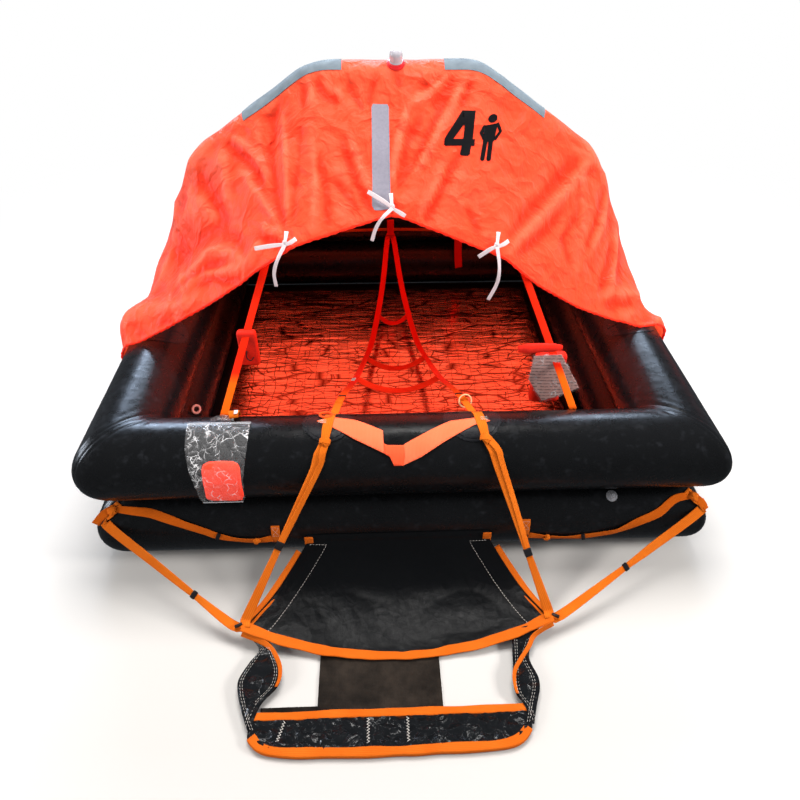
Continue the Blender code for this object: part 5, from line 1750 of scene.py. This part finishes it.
def disc(x, z, radius, count=24):
    return [(x + radius * math.cos(turn), z + radius * math.sin(turn))
            for turn in np.linspace(0, 2 * math.pi, count, endpoint=False)]


def stroke(points, width):
    """Closed rings for a thick line: a bar for each stretch and a disc at each point."""
    rings = [disc(x, z, width / 2, 14) for x, z in points]
    for (ax, az), (bx, bz) in zip(points, points[1:]):
        side = Vector((az - bz, bx - ax)).normalized() * width / 2
        rings.append([(ax + side.x, az + side.y), (bx + side.x, bz + side.y),
                      (bx - side.x, bz - side.y), (ax - side.x, az - side.y)])
    return rings


def scaled(ring, left, top, wide, high):
    return [(left + x * wide, top - y * high) for x, y in ring]


# %% Prints and tapes
def make_prints():
    four = [[(98, 0), (165, 3), (155, 80), (98, 80), (110, 66)], [(98, 0), (110, 66), (48, 150), (3, 146)],
            [(3, 146), (48, 150), (157, 155), (152, 190), (8, 185), (0, 178)],
            [(110, 66), (155, 80), (146, 156), (98, 153)],
            [(90, 186), (136, 189), (127, 232), (118, 240), (84, 240), (79, 234)]]
    rings = [scaled(ring, 0.1275, 1.0345, 0.000555, 0.000385) for ring in four]
    lay_on_cloth("printed_numeral", rings, INK, 0.0014)
    figure = [disc(67, 24, 23), [(23, 54), (92, 54), (76, 104), (66, 146), (16, 143), (26, 104)]]
    for line, width in ((((26, 60), (9, 94), (22, 128)), 15), (((91, 60), (102, 102), (74, 134)), 15),
                        (((26, 140), (9, 232)), 20), (((52, 140), (38, 236)), 21)):
        figure += stroke(line, width)
    rings = [scaled(ring, 0.2270, 1.0225, 0.000620, 0.000377) for ring in figure]
    lay_on_cloth("printed_figure", rings, INK, 0.0014)


def make_centre_tape():
    outline = [(-0.0660, 1.0490), (-0.0265, 1.0490), (-0.0225, 1.0430), (-0.0235, 0.8540), (-0.0300, 0.8460),
               (-0.0670, 0.8440), (-0.0735, 0.8510), (-0.0705, 1.0420)]
    lay_on_cloth("reflective_tape_centre", [outline], REFLECTIVE, 0.0018)


def make_ridge_tape(side, sign, inner, outer):
    """A strip over the arch; each place is found from outside, along a spoke of the arch's section."""
    line = evenly(rounded_line(ARCH_LINE, 0.03, 8), 0.008)
    rows = []
    for before, place, after in zip(line, line[1:], line[2:]):
        if not inner <= sign * place.x <= outer:
            continue
        along = (after - before).normalized()
        out = Vector((along.y, 0, -along.x)) * math.copysign(1, -along.x)
        centre = Vector((place.x, MIDDLE, place.y))
        row = []
        for turn in np.radians(np.linspace(-39, 8, 9)):
            spoke = out * math.cos(turn) + Vector((0, math.sin(turn), 0))
            spot, _, _, _ = CANOPY_TREE.ray_cast(centre + spoke * 0.16, -spoke)
            row.append(spot + spoke * 0.0016)
        rows.append(row)
    tape = skin(f"reflective_tape_ridge_{side}", rows, RIDGE_TAPE, facing=UP)
    print(tape.name, len(rows), "rows")


make_prints()
make_centre_tape()
make_ridge_tape("left", -1, 0.150, 0.412)
make_ridge_tape("right", 1, 0.128, 0.410)

# %% [markdown]
# ## White ties
#
# Three white cotton tapes hold up the door flap along the top of the doorway. Each is tied in a bow: a knot,
# a short tab upwards, two ends to the sides and a long tail that hangs down over the opening. The tapes are
# 10 to 12 mm wide and quite limp; an end that lies past the hem keeps the depth of its knot.

# %% White ties
TIES = {"left": ((-0.305, 0.776), ((-0.302, 0.802),), ((-0.345, 0.777), (-0.388, 0.766)),
                 ((-0.290, 0.783), (-0.277, 0.790)), ((-0.022, -0.036), (-0.034, -0.072), (-0.033, -0.112))),
        "centre": ((-0.021, 0.848), ((-0.023, 0.878),), ((-0.045, 0.864), (-0.082, 0.884)),
                   ((0.000, 0.838), (0.014, 0.830)), ((-0.030, -0.022), (-0.046, -0.050), (-0.056, -0.082))),
        "right": ((0.261, 0.762), ((0.266, 0.792),), ((0.243, 0.757), (0.213, 0.744)),
                  ((0.278, 0.770), (0.290, 0.777)), ((0.008, -0.050), (0.006, -0.098), (-0.014, -0.150)))}


def tie_end(name, points, lay):
    """One end of a tape, lying loose on the cloth or hanging down."""
    flat = Vector((0, -1, 0.35)).cross(points[-1] - points[0]).normalized()
    side = [flat if lay == "loose" else (1, 0.5 * math.sin(2.0 * k), 0) for k in range(len(points))]
    width = [0.008] + [0.0118] * (len(points) - 2) + [0.0112] if lay == "loose" else 0.0100
    end = strap(name, points, side, TIE_TAPE, width=width, thickness=0.0012, step=0.004)


def make_ties():
    for name, (knot, *ends, tail) in TIES.items():
        centre = on_cloth(*knot, 0.008)
        deselect()
        bpy.ops.mesh.primitive_uv_sphere_add(segments=20, ring_count=12, radius=0.0085, location=centre)
        bow = bpy.context.object
        bow.name = bow.data.name = f"tie_knot_{name}"
        bow.scale = (0.9, 0.7, 1.1)
        bpy.ops.object.transform_apply(location=True, rotation=True, scale=True)
        for vertex in bow.data.vertices:
            offset = vertex.co - centre
            vertex.co += offset * 0.22 * noise.noise(offset * 260 + Vector((centre.x * 9, 0, 0)))
        bpy.ops.object.shade_smooth()
        bow.data.materials.append(TIE_TAPE)
        on_raft(bow)
        for label, places in zip(("up", "one", "two"), ends):
            points = [centre] + [on_cloth(x, z, 0.006) for x, z in places]
            for point in points:
                point.y = min(point.y, centre.y - 0.003 + max(0.0, point.z - centre.z))
            tie_end(f"tie_{label}_{name}", points, "loose")
        hanging = [centre + Vector((x, -0.020 - 0.002 * k, z)) for k, (x, z) in enumerate(tail)]
        tie_end(f"tie_tail_{name}", [centre] + hanging, "hanging")


make_ties()

# %% [markdown]
# ## Clear bag on the tube
#
# A clear polythene bag with a press seal lies over the front tube. It holds a rounded piece of salmon foam
# rubber. The film is crumpled and nearly invisible; its mesh carries the large creases, and its material
# paints white highlights along some of the small ones.

# %% Clear bag
BAG_X, BAG_HALF = -0.483, 0.0810
BAG_ROUTE, BAG_HANG = 0.19, 0.072
BAG_TAPER = ((0.0, 0.35, 0.62, 0.72, 0.76, 0.84, 0.95, 1.0),
             (0.0825, 0.078, 0.068, 0.0625, 0.0640, 0.060, 0.059, 0.0525))


def bag_half(s):
    return float(np.interp(s, *BAG_TAPER))


def bag_spot(x, s, lift):
    """A place on the bag: s runs from 0 at its top to 1 at its lower edge."""
    run = s * (BAG_ROUTE + BAG_HANG)
    if run < BAG_ROUTE:
        return on_front(x, 99 - 90 * run / BAG_ROUTE, lift)
    low = on_front(x, 9, lift)
    return low + Vector((0, 0.004, -1)) * (run - BAG_ROUTE)


def make_film(name, base, depth, seed, belly, *nodes):
    rows = []
    for s in np.linspace(0, 1, 81):
        row = []
        for u in np.linspace(-1, 1, 57):
            x = BAG_X + 0.003 * s + u * bag_half(s)
            rim = min(1.0, (1 - abs(u)) / 0.12, s / 0.05, (1 - s) / 0.05)
            spot = Vector((x * 21, s * 5.2, seed))
            crumple = 1 - 2.6 * abs(noise.noise(spot)) + 0.7 * noise.noise(spot * 2.7)
            swell = belly * math.exp(-((u - 0.1) / 0.6) ** 2 - ((s - 0.74) / 0.26) ** 2)
            row.append(bag_spot(x, s, base * rim + 0.0012 + max(0.0, rim * (depth * crumple + swell))))
        rows.append(row)
    return skin(f"bag_film_{name}", rows, CLEAR_FILM, *nodes, facing=(0, -1, 0.4))


INSERT = ((-0.052, 0.93), (-0.050, 0.80), (-0.049, 0.56), (-0.044, 0.505), (-0.030, 0.478), (0.0, 0.472),
          (0.030, 0.478), (0.043, 0.505), (0.048, 0.56), (0.047, 0.90), (0.040, 0.975), (0.022, 0.985),
          (-0.034, 0.975), (-0.048, 0.955))


def make_insert():
    outline = np.array(INSERT + INSERT[:1])
    rows = []
    for ring in (1.0, 1.0, 0.985, 0.95, 0.86, 0.6, 0.3, 0.02):
        row = []
        for place in np.linspace(0, len(INSERT), 84, endpoint=False):
            u, s = [np.interp(place, range(len(outline)), column) for column in outline.T]
            row.append(bag_spot(BAG_X + 0.014 + u * ring, 0.73 + (s - 0.73) * ring,
                                0.0030 + 0.0058 * (1 - ring ** 6) ** 0.5))
        rows.append(row)
    skin("foam_insert", rows, SALMON_FOAM, ring=True)


def make_bag():
    more = [make_film("back", 0.0012, 0.0006, 9.0, 0.0)]
    front = make_film("front", 0.0052, 0.0042, 1.0, 0.0075, "zip_bag")
    for k, s in enumerate((0.018, 0.040, 1.0)):
        points = [bag_spot(BAG_X + 0.003 * s + u * bag_half(s), s, 0.0042) for u in np.linspace(-1, 1, 13)]
        more.append(tube_along(f"bag_seal_{k + 1}", points, [(0.0013, 0.0013)] * 13, SEAL_FILM, 8))
    places = ((-0.026, 104), (-0.012, 107), (0.004, 109), (0.020, 107), (0.034, 103))
    points = [on_front(BAG_X + x, angle, 0.005) for x, angle in places]
    radii = [(0.003, 0.003), (0.009, 0.006), (0.010, 0.008), (0.008, 0.006), (0.003, 0.003)]
    more.append(tube_along("bag_rolled_top", points, radii, CLEAR_FILM, 14))
    make_insert()
    print("bag of", len(more) + 1, "film pieces")


make_bag()

# %% [markdown]
# ## Pouches and card
#
# Two small pouches of red woven nylon hang behind the stays: a narrow one on the left with a black
# pull loop, and a wide one on the right with a flap. A laminated card with rows of small print is
# tucked in front of the right pouch. The marks on the card are plain grey dashes.

# %% Pouches and card
def padded_block(name, low, high, look, *nodes):
    """A cube at its size and place, rounded along its edges, divided, and swollen towards its middle."""
    size, centre = high - low, (low + high) / 2
    deselect()
    bpy.ops.mesh.primitive_cube_add(size=1, location=centre)
    block = bpy.context.object
    block.name = block.data.name = name
    block.scale = size
    bpy.ops.object.transform_apply(location=True, rotation=True, scale=True)
    bpy.ops.object.mode_set(mode="EDIT")
    bpy.ops.mesh.select_all(action="SELECT")
    bpy.ops.mesh.bevel(offset=min(size) * 0.42, segments=5)
    bpy.ops.mesh.select_all(action="SELECT")
    bpy.ops.mesh.subdivide(number_cuts=10)
    bpy.ops.object.mode_set(mode="OBJECT")
    thin = list(size).index(min(size))
    for vertex in block.data.vertices:
        offset = vertex.co - centre
        shares = [1 - (2 * abs(offset[k]) / size[k]) ** 2 for k in range(3) if k != thin]
        swell = max(0.0, shares[0]) * max(0.0, shares[1])
        pull = 0.12 * noise.noise(vertex.co * 38) * swell
        vertex.co[thin] += math.copysign(POUCH_SWELL * (swell * 0.9 + pull - 0.5), offset[thin]) \
            * min(1.0, abs(offset[thin]) / (0.3 * size[thin]))
    bpy.ops.object.shade_smooth()
    block.data.materials.append(look)
    return on_raft(block, *nodes)


CARD_OUTLINE = ((3650, 5205), (4400, 5270), (5130, 4030), (4711, 3830), (4102, 3590), (3620, 4358))
POUCH_SWELL = 0.004


def make_pouches():
    for side, narrow in (("left", 0.10), ("right", 0.24)):
        low, high = box_of(f"stay_pouch_{side}")
        narrow *= high.x - low.x
        low.x += narrow * 0.7
        high.x -= narrow
        pouch = padded_block(f"pouch_body_{side}", low, high, RED_CLOTH, f"stay_pouch_{side}")
        front = low.y - 0.0022
        if side == "left":
            middle = Vector(((low.x + high.x) / 2 + 0.004, front, low.z))
            points = [middle + Vector(p) for p in ((-0.008, 0, 0.055), (-0.010, -0.004, 0.034),
                                                   (0, -0.006, 0.026), (0.010, -0.004, 0.036))]
            points = curve_through(points, 0.003)[0]
            tube_along("pouch_pull_loop", points, [(0.0016, 0.0016)] * len(points), BLACK_PLASTIC, 8)
        else:
            points = [(x, front - ahead, z) for x, ahead, z in (
                (0.3175, 0.004, 0.546), (0.345, 0.007, 0.549), (0.385, 0.006, 0.551), (0.415, 0.005, 0.550),
                (0.438, 0.002, 0.547))]
            radii = [(0.008, 0.010), (0.013, 0.015), (0.011, 0.013), (0.010, 0.012), (0.006, 0.008)]
            tube_along("pouch_rolled_flap", points, radii, RED_CLOTH, 20)


def card_place(lift):
    """Where a flat place of the card comes to lie: it's bent a little, as it is wedged in."""
    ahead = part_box("instruction_card")[0][1] - 0.0030 - lift
    return lambda x, z: Vector((x, ahead - 0.004 * math.sin((x - 0.36) * 21)
                                + 0.002 * wobble(x * 18, z * 18, 4), z))


def make_card():
    outline = [Vector(p) / 10000 for p in CARD_OUTLINE]
    lay_flat("laminated_card", [outline], card_place(0.0), PRINTED_CARD, "instruction_card",
             facing=(0, -1, 0), thick=0.0008)
    middle = Vector((0.435, 0.44))
    wider = [middle + (p - middle) * 1.07 for p in outline]
    lay_flat("card_clear_pouch", [wider], card_place(0.0022), CLEAR_FILM, facing=(0, -1, 0))
    print("pouches and card made")


make_pouches()
make_card()

# %% [markdown]
# ## Lamp, valve and pull ring
#
# The locator lamp sits on the ridge: a red moulded ring with a frosted dome and a small loop for
# its line. The inflation valve is a nickel-plated flange and stem under the upper tube. A pink
# rubber ring hangs on a line inside the left tube. These are rigid, so they start as primitives.

# %% Lamp, valve and pull ring
LAMP_LEAN = 0.36
VALVE_TILT = 57


def finish_primitive(name, look, *nodes, bevel=0.0, smooth=40):
    piece = bpy.context.object
    piece.name = piece.data.name = name
    bpy.ops.object.transform_apply(location=True, rotation=True, scale=True)
    if bevel:
        bpy.ops.object.mode_set(mode="EDIT")
        bpy.ops.mesh.select_all(action="SELECT")
        bpy.ops.mesh.bevel(offset=bevel, segments=3)
        bpy.ops.object.mode_set(mode="OBJECT")
    bpy.ops.object.shade_smooth_by_angle(angle=math.radians(smooth))
    piece.data.materials.append(look)
    return on_raft(piece, *nodes)


def torus(name, place, turns, major, minor, segments, look, *nodes):
    deselect()
    bpy.ops.mesh.primitive_torus_add(location=place, rotation=[math.radians(turn) for turn in turns],
                                     major_radius=major, minor_radius=minor, major_segments=segments[0],
                                     minor_segments=segments[1])
    finish_primitive(name, look, *nodes)


def turned(name, outline, place, look, *nodes, along=UP):
    """A disc extruded and scaled ring by ring after an outline of (radius, height), laid along a way."""
    deselect()
    bpy.ops.mesh.primitive_circle_add(vertices=48, radius=outline[0][0], fill_type="NGON",
                                      location=(0, 0, 0))
    bpy.ops.object.mode_set(mode="EDIT")
    bpy.ops.mesh.select_all(action="SELECT")
    for (radius, height), (wider, higher) in zip(outline, outline[1:]):
        bpy.ops.mesh.extrude_region_move(TRANSFORM_OT_translate={"value": (0, 0, higher - height)})
        bpy.ops.transform.resize(value=(wider / radius, wider / radius, 1), center_override=(0, 0, 0))
    bpy.ops.mesh.select_all(action="SELECT")
    bpy.ops.mesh.normals_make_consistent(inside=False)
    bpy.ops.object.mode_set(mode="OBJECT")
    tilt = Vector(UP).rotation_difference(Vector(along)).to_matrix().to_4x4()
    start = Matrix.Translation((0, 0, outline[0][1]))
    bpy.context.object.matrix_world = Matrix.Translation(place) @ tilt @ start
    finish_primitive(name, look, *nodes, smooth=38)


def make_lamp():
    low, high = box_of("lamp_base")
    lean = Vector((0, -math.sin(LAMP_LEAN), math.cos(LAMP_LEAN)))
    seat = Vector(((low.x + high.x) / 2, MIDDLE, low.z - ARCH)) + lean * ARCH
    ring = ((0.0255, 0.0), (0.0262, 0.002), (0.0262, 0.0055), (0.0240, 0.0075), (0.0240, 0.0105),
            (0.0222, 0.0120), (0.0180, 0.0122))
    turned("lamp_red_ring", ring, seat, RED_PLASTIC, "lamp_base", along=lean)
    dome = [(0.0196, 0.0110), (0.0196, 0.0135), (0.0178, 0.0150), (0.0178, 0.0300)]
    dome += [(0.0178 * math.cos(t), 0.0300 + 0.0172 * math.sin(t)) for t in np.linspace(0.15, 1.5, 10)]
    turned("lamp_frosted_dome", dome, seat, LENS, "lamp_dome", along=lean)
    torus("lamp_line_loop", seat + lean * 0.041 + Vector((0.014, 0, 0)), (90, 0, math.degrees(0.5)), 0.0062,
          0.0011, (28, 8), CLEAR_FILM)


def make_valve_and_ring():
    low, high = box_of("inflation_valve")
    tilt = math.radians(VALVE_TILT)
    out = Vector((0, -math.cos(tilt), math.sin(tilt)))
    seat = Vector(((low.x + high.x) / 2 + 0.018, FRONT, LOWER_Z)) + out * (TUBE - 0.0005)
    turned("valve_flange", ((0.0160, 0.0), (0.0160, 0.0010), (0.0150, 0.0020), (0.0110, 0.0026)), seat,
           VALVE_METAL, along=out)
    turned("valve_knob", ((0.0100, 0.0), (0.0106, 0.001), (0.0106, 0.0038), (0.0096, 0.005), (0.0070, 0.0052),
                          (0.0066, 0.0065), (0.0066, 0.0115), (0.0052, 0.0130), (0.0020, 0.0132)),
           seat + out * 0.0020, VALVE_METAL, "inflation_valve", along=out)
    low, high = box_of("line_ring")
    torus("pull_ring_rubber", (low + high) / 2 + Vector((0.004, 0, 0)), (62, 0, 38),
          (high.z - low.z) / 2 - 0.0040, 0.0042, (48, 14), PINK_RUBBER, "line_ring")
    print("valve and ring made")


make_lamp()
make_valve_and_ring()

# %% [markdown]
# ## Knots, sliders and tabs
#
# Where a strap meets another it is knotted or sewn. A knot is three short wraps of the same
# webbing that cross each other. Small black sliders sit on the straps, square tabs with a crossed
# seam hold the lifelines, and round patches under the knots spread their pull over the tube.

# %% Knots, sliders and tabs
ROUND_PATCH = {"left": (-0.2008, 96.4, 0.0663), "right": (0.1790, 98.0, 0.0771)}


def webbing_knot(name, centre, along, out, size):
    out = Vector(out).normalized()
    along = Vector(along)
    along = (along - out * along.dot(out)).normalized()
    beside = out.cross(along)
    for number, (turn, shift, grow) in enumerate(((8, 0.0, 1.0), (52, 0.35, 0.86), (-40, -0.4, 0.82))):
        angle = math.radians(turn)
        side = (beside * math.cos(angle) + along * math.sin(angle)) * size * grow
        way = along * math.cos(angle) - beside * math.sin(angle)
        middle = centre + along * shift * size * 0.5
        points = [middle + side * math.cos(t) + out * size * 0.62 * grow * math.sin(t)
                  for t in np.radians(np.linspace(-24, 204, 9))]
        strap(f"{name}_wrap_{number + 1}", points, way, ORANGE_WEBBING, width=size * 1.05, thickness=0.0026,
              step=0.002)


def slider(name, centre, along, beside, size):
    """A moulded black slider on a strap: width, length and thickness."""
    along, beside = Vector(along).normalized(), Vector(beside)
    beside = (beside - along * beside.dot(along)).normalized()
    turn = Matrix((beside, along, beside.cross(along))).transposed()
    deselect()
    bpy.ops.mesh.primitive_cube_add(size=1, location=centre, rotation=turn.to_euler())
    bpy.context.object.scale = size
    finish_primitive(name, BLACK_PLASTIC, bevel=0.0018)


def make_front_marks():
    for side, sign in SIDES:
        knot = on_front(sign * 0.206, KNOT_ANGLE, 0.006)
        webbing_knot(f"front_knot_{side}", knot, on_front(sign * 0.206, 40, 0) - knot, (0, -0.5, 0.85),
                     0.0135)
        end = strap_end(sign)
        clip = on_front(sign * 0.234, 27, 0.0050).lerp(end, CLIP_SHARE[side])
        slider(f"front_slider_{side}", clip, end - clip, (1, 0, 0), (0.020, 0.022, 0.009))
        slider(f"corner_slider_{side}", end + Vector((sign * 0.016, -0.012, -0.001)), (sign, -0.5, 0),
               (0.3 * sign, 1, 0), (0.008, 0.020, 0.007))
        leave, turn_in = corner_line(sign)
        place = leave.lerp(turn_in, CORNER_CLIP[sign]) + Vector((0, 0, -0.0062))
        slider(f"corner_strap_slider_{side}", place, turn_in - leave, (0, 0.7, 0.7), (0.021, 0.014, 0.008))
        x, angle, radius = ROUND_PATCH[side]
        for number, size in enumerate((radius, radius - 0.008)):
            ring = [(x + a * size, angle + math.degrees(b * size / TUBE)) for a, b in disc(0, 0, 1, 48)]
            lay_on_front(f"round_patch_{side}_{number + 1}", [ring], TUBE_PATCH, 0.0002 + 0.0004 * number,
                         thick=0.0005)
    crossings = [([on_front(x + 0.011 * u, angle, 0.0078) for u in (-1, 0, 1)], (0, -0.1, 1))
                 for x in (-0.2135, 0.2105) for angle in (95, 91)]
    seam("handle_zigzag_seams", crossings, zigzag=0.0022, length=0.003, width=0.0008)
    edges = ((HANDLE[1:5], 2.2), (HANDLE[-2:-5:-1], -2.4), (HANDLE[7:10], 2.2), (HANDLE[12:15], -2.4))
    seam("handle_edge_seams", [([on_front(x, angle + inwards, 0.0038) for x, angle in edge], (0, -0.6, 0.8))
                               for edge, inwards in edges],
         length=0.004, gap=0.003, width=0.0007, look=HANDLE_WEBBING)


def lifeline_run(places, k):
    """A place of the front lifeline and its run there."""
    here = on_front(*places[k], 0.0050, LOWER_Z)
    return here, here - on_front(*places[k - 1], 0.004, LOWER_Z)


def make_corner_marks():
    crosses = []
    for side, sign in SIDES:
        knot = on_corner(sign, KNOT_HEIGHT - 2, 0.006)
        webbing_knot(f"corner_knot_{side}", knot, (sign, 0.2, 0.3), (0, -0.62, 0.78), 0.0120)
        aside = 0.014 if sign < 0 else 0.004
        tail = [on_corner(sign, KNOT_HEIGHT + 4, 0.006),
                on_corner(sign, 46, 0.008) + Vector((sign * aside, 0.003, 0)),
                on_corner(sign, 32, 0.009) + Vector((sign * aside * 1.6, 0.004, 0))]
        strap(f"corner_tail_{side}", tail, [(1, 0.4, 0), (1, 0.2, 0.2), (1, 0.4, 0.1)], LIFELINE_WEBBING,
              width=[0.016, 0.021, 0.022])
        places = [(sign * x, angle) for x, angle in LINE_DROP[sign]]
        here, run = lifeline_run(places, 5)
        slider(f"lifeline_slider_{side}", here, run, (0, 0.2, 1), (0.020, 0.011, 0.007))
        here, run = lifeline_run(places, 7)
        webbing_knot(f"lifeline_knot_{side}", here, run, (0, -1, 0.1), 0.0095)
        x = -0.360 if sign < 0 else 0.340
        places = [on_front(x, angle, 0.0016, LOWER_Z) for angle in (26, 20, 12, 4, -4)]
        strap(f"lifeline_tab_{side}", places, (1, 0, 0), BINDING_TAPE, width=0.024)
        for line in (((-1, 22), (0, 16), (1, 10)), ((1, 22), (0, 16), (-1, 10)), ((-1, 23), (0, 23), (1, 23)),
                     ((-1, 9), (0, 9), (1, 9))):
            points = [on_front(x + 0.009 * u, angle, 0.0030, LOWER_Z) for u, angle in line]
            crosses.append((points, (0, -1, 0.3)))
    seam("tab_cross_seams", crosses, length=0.003, gap=0.0018, width=0.0008)


def make_ladder_marks():
    y, z, half = LADDER[-1]
    for side, sign in SIDES:
        low = Vector((sign * half, FRONT + y, z))
        high = on_front(sign * 0.190, 138, 0.0025)
        slider(f"ladder_keeper_{side}", low.lerp(high, 0.06), high - low, (1, 0, 0), (0.024, 0.010, 0.006))
        if sign < 0:
            torus("ladder_flange_ring", on_front(-0.2075, 112, 0.0055), (-20, 0, 0), 0.0165, 0.0032, (44, 12),
                  RING_ORANGE)
        else:
            torus("ladder_white_ring", low.lerp(high, 0.48) + Vector((0.002, -0.004, 0.004)), (58, 12, 0),
                  0.0185, 0.0023, (44, 12), RING_CREAM)
        webbing_knot(f"ladder_knot_{side}", low.lerp(high, 0.45), high - low, (0, -0.7, 0.7), 0.0105)
    low = Vector((-half, FRONT + y, z))
    y, z, half = LADDER[-2]
    bit = Vector((-half - 0.004, FRONT + y, z + 0.003))
    bit_end = bit + (low - bit) * 0.18
    lines = [([end + Vector((x, 0, 0)) for end in (bit, bit_end)], (0, -0.6, 0.8))
             for x in (-0.004, 0, 0.004)]
    seam("ladder_stitched_bit", lines, zigzag=0.002, length=0.003, width=0.0010)
    foot = [on_front(x, angle, lift) for x, angle, lift in (
        (-0.452, 128, 0.003), (-0.450, 118, 0.010), (-0.449, 112, 0.022), (-0.447, 104, 0.020),
        (-0.446, 101, 0.012))]
    strap("stay_foot_tab", foot, (1, 0, 0.05), ORANGE_WEBBING, width=[0.030, 0.030, 0.030, 0.026, 0.024])
    strap("stay_foot_label", [p + Vector((0.006, -0.0016, 0.003)) for p in foot[2:4]], (1, 0, 0.05), TIE_TAPE,
          width=0.010)


def on_side(sign, y, angle, lift):
    """A point over a side tube, at an angle above its outer side."""
    turn = math.radians(angle)
    return Vector((sign * (HALF + (TUBE + lift) * math.cos(turn)), y,
                   UPPER_Z + (TUBE + lift) * math.sin(turn)))


def make_side_patches():
    """Fabric doublers under the canopy's feet, round in front."""
    for side, sign in SIDES:
        for number, smaller in enumerate((0.0, 0.016)):
            ring = [(-0.045 + (0.070 - smaller) * a, arc_length(98) + (0.088 - smaller) * b)
                    for a, b in disc(0, 0, 1, 40)]
            lay_flat(f"side_doubler_{side}_{number + 1}", [ring],
                     lambda y, run: on_side(sign, y, math.degrees(run / TUBE), 0.0002 + 0.0004 * number),
                     TUBE_PATCH, facing=UP, thick=0.0005, offset=1.0)


make_front_marks()
make_corner_marks()
make_ladder_marks()
make_side_patches()
print("knots, sliders, tabs and patches made")

# %% [markdown]
# ## Gas cylinder and bottom gear
#
# A small steel cylinder hangs in two bands behind the lower tube and fills the raft on a pull. It
# is painted grey and carries a brass head with an outlet. Under the floor lie four folded ballast
# pockets and the long strap by which a capsized raft is turned over. None of these shows in front.

# %% Gas cylinder and bottom gear
def make_gas_gear():
    low, high = box_of("gas_cylinder")
    middle = (low + high) / 2
    axis = Vector((low.x, middle.y, middle.z))
    length, radius = high.x - low.x, (high.z - low.z) / 2
    shape = ((0.34, 0.0), (0.62, 0.012), (0.85, 0.045), (0.97, 0.095), (1.0, 0.14), (1.0, 0.88),
             (0.96, 0.925), (0.82, 0.965), (0.55, 0.992), (0.30, 1.0))
    turned("cylinder_shell", [(r * radius, h * length) for r, h in shape], axis, CYLINDER_PAINT,
           "gas_cylinder", along=(1, 0, 0))
    low, high = box_of("cylinder_head")
    seat = Vector((low.x, axis.y, axis.z))
    shape = ((0.010, 0.0), (0.0105, 0.004), (0.019, 0.006), (0.0205, 0.009), (0.0205, 0.020),
             (0.0170, 0.023), (0.0160, 0.031), (0.0120, high.x - low.x))
    turned("cylinder_valve_body", shape, seat, BRASS, "cylinder_head", along=(1, 0, 0))
    deselect()
    bpy.ops.mesh.primitive_cylinder_add(vertices=6, radius=0.0085, depth=0.012,
                                        location=seat + Vector((0.014, -0.014, 0)),
                                        rotation=(math.radians(90), 0, 0))
    finish_primitive("cylinder_outlet_nut", BRASS, bevel=0.0008)
    for number in (1, 2):
        low, high = box_of(f"cylinder_band_{number}")
        points = [Vector(((low.x + high.x) / 2, axis.y + (radius + 0.0013) * math.cos(turn),
                          axis.z + (radius + 0.0013) * math.sin(turn)))
                  for turn in np.radians(np.linspace(-117, 117, 19))]
        strap(f"cylinder_web_{number}", points, (1, 0, 0), TARPAULIN, f"cylinder_band_{number}", width=0.039)


def make_bottom_gear():
    for number in (1, 2, 3, 4):
        low, high = box_of(f"ballast_pocket_{number}")
        xs, ys = [np.linspace(low[k] + 0.002, high[k] - 0.002, 36) for k in (0, 1)]
        middle = (low + high) / 2

        def fold(x, y):
            return middle.z + 0.0055 * max(-1.0, min(1.0, 1.6 * wobble(x * 14, y * 14, number)))

        pocket = sheet_over(f"ballast_pocket_cloth_{number}", xs, ys, fold, TARPAULIN,
                            f"ballast_pocket_{number}", facing=(0, 0, -1), thick=0.0008, offset=0.0)
    low, high = box_of("righting_strap")
    middle = (low + high) / 2
    points = [(middle.x, y, middle.z) for y in (low.y, middle.y, high.y)]
    strap("righting_web", points, (1, 0, 0), ORANGE_WEBBING, "righting_strap", width=0.049, thickness=0.0018,
          step=0.02)


make_gas_gear()
make_bottom_gear()
print("gas cylinder and bottom gear made")
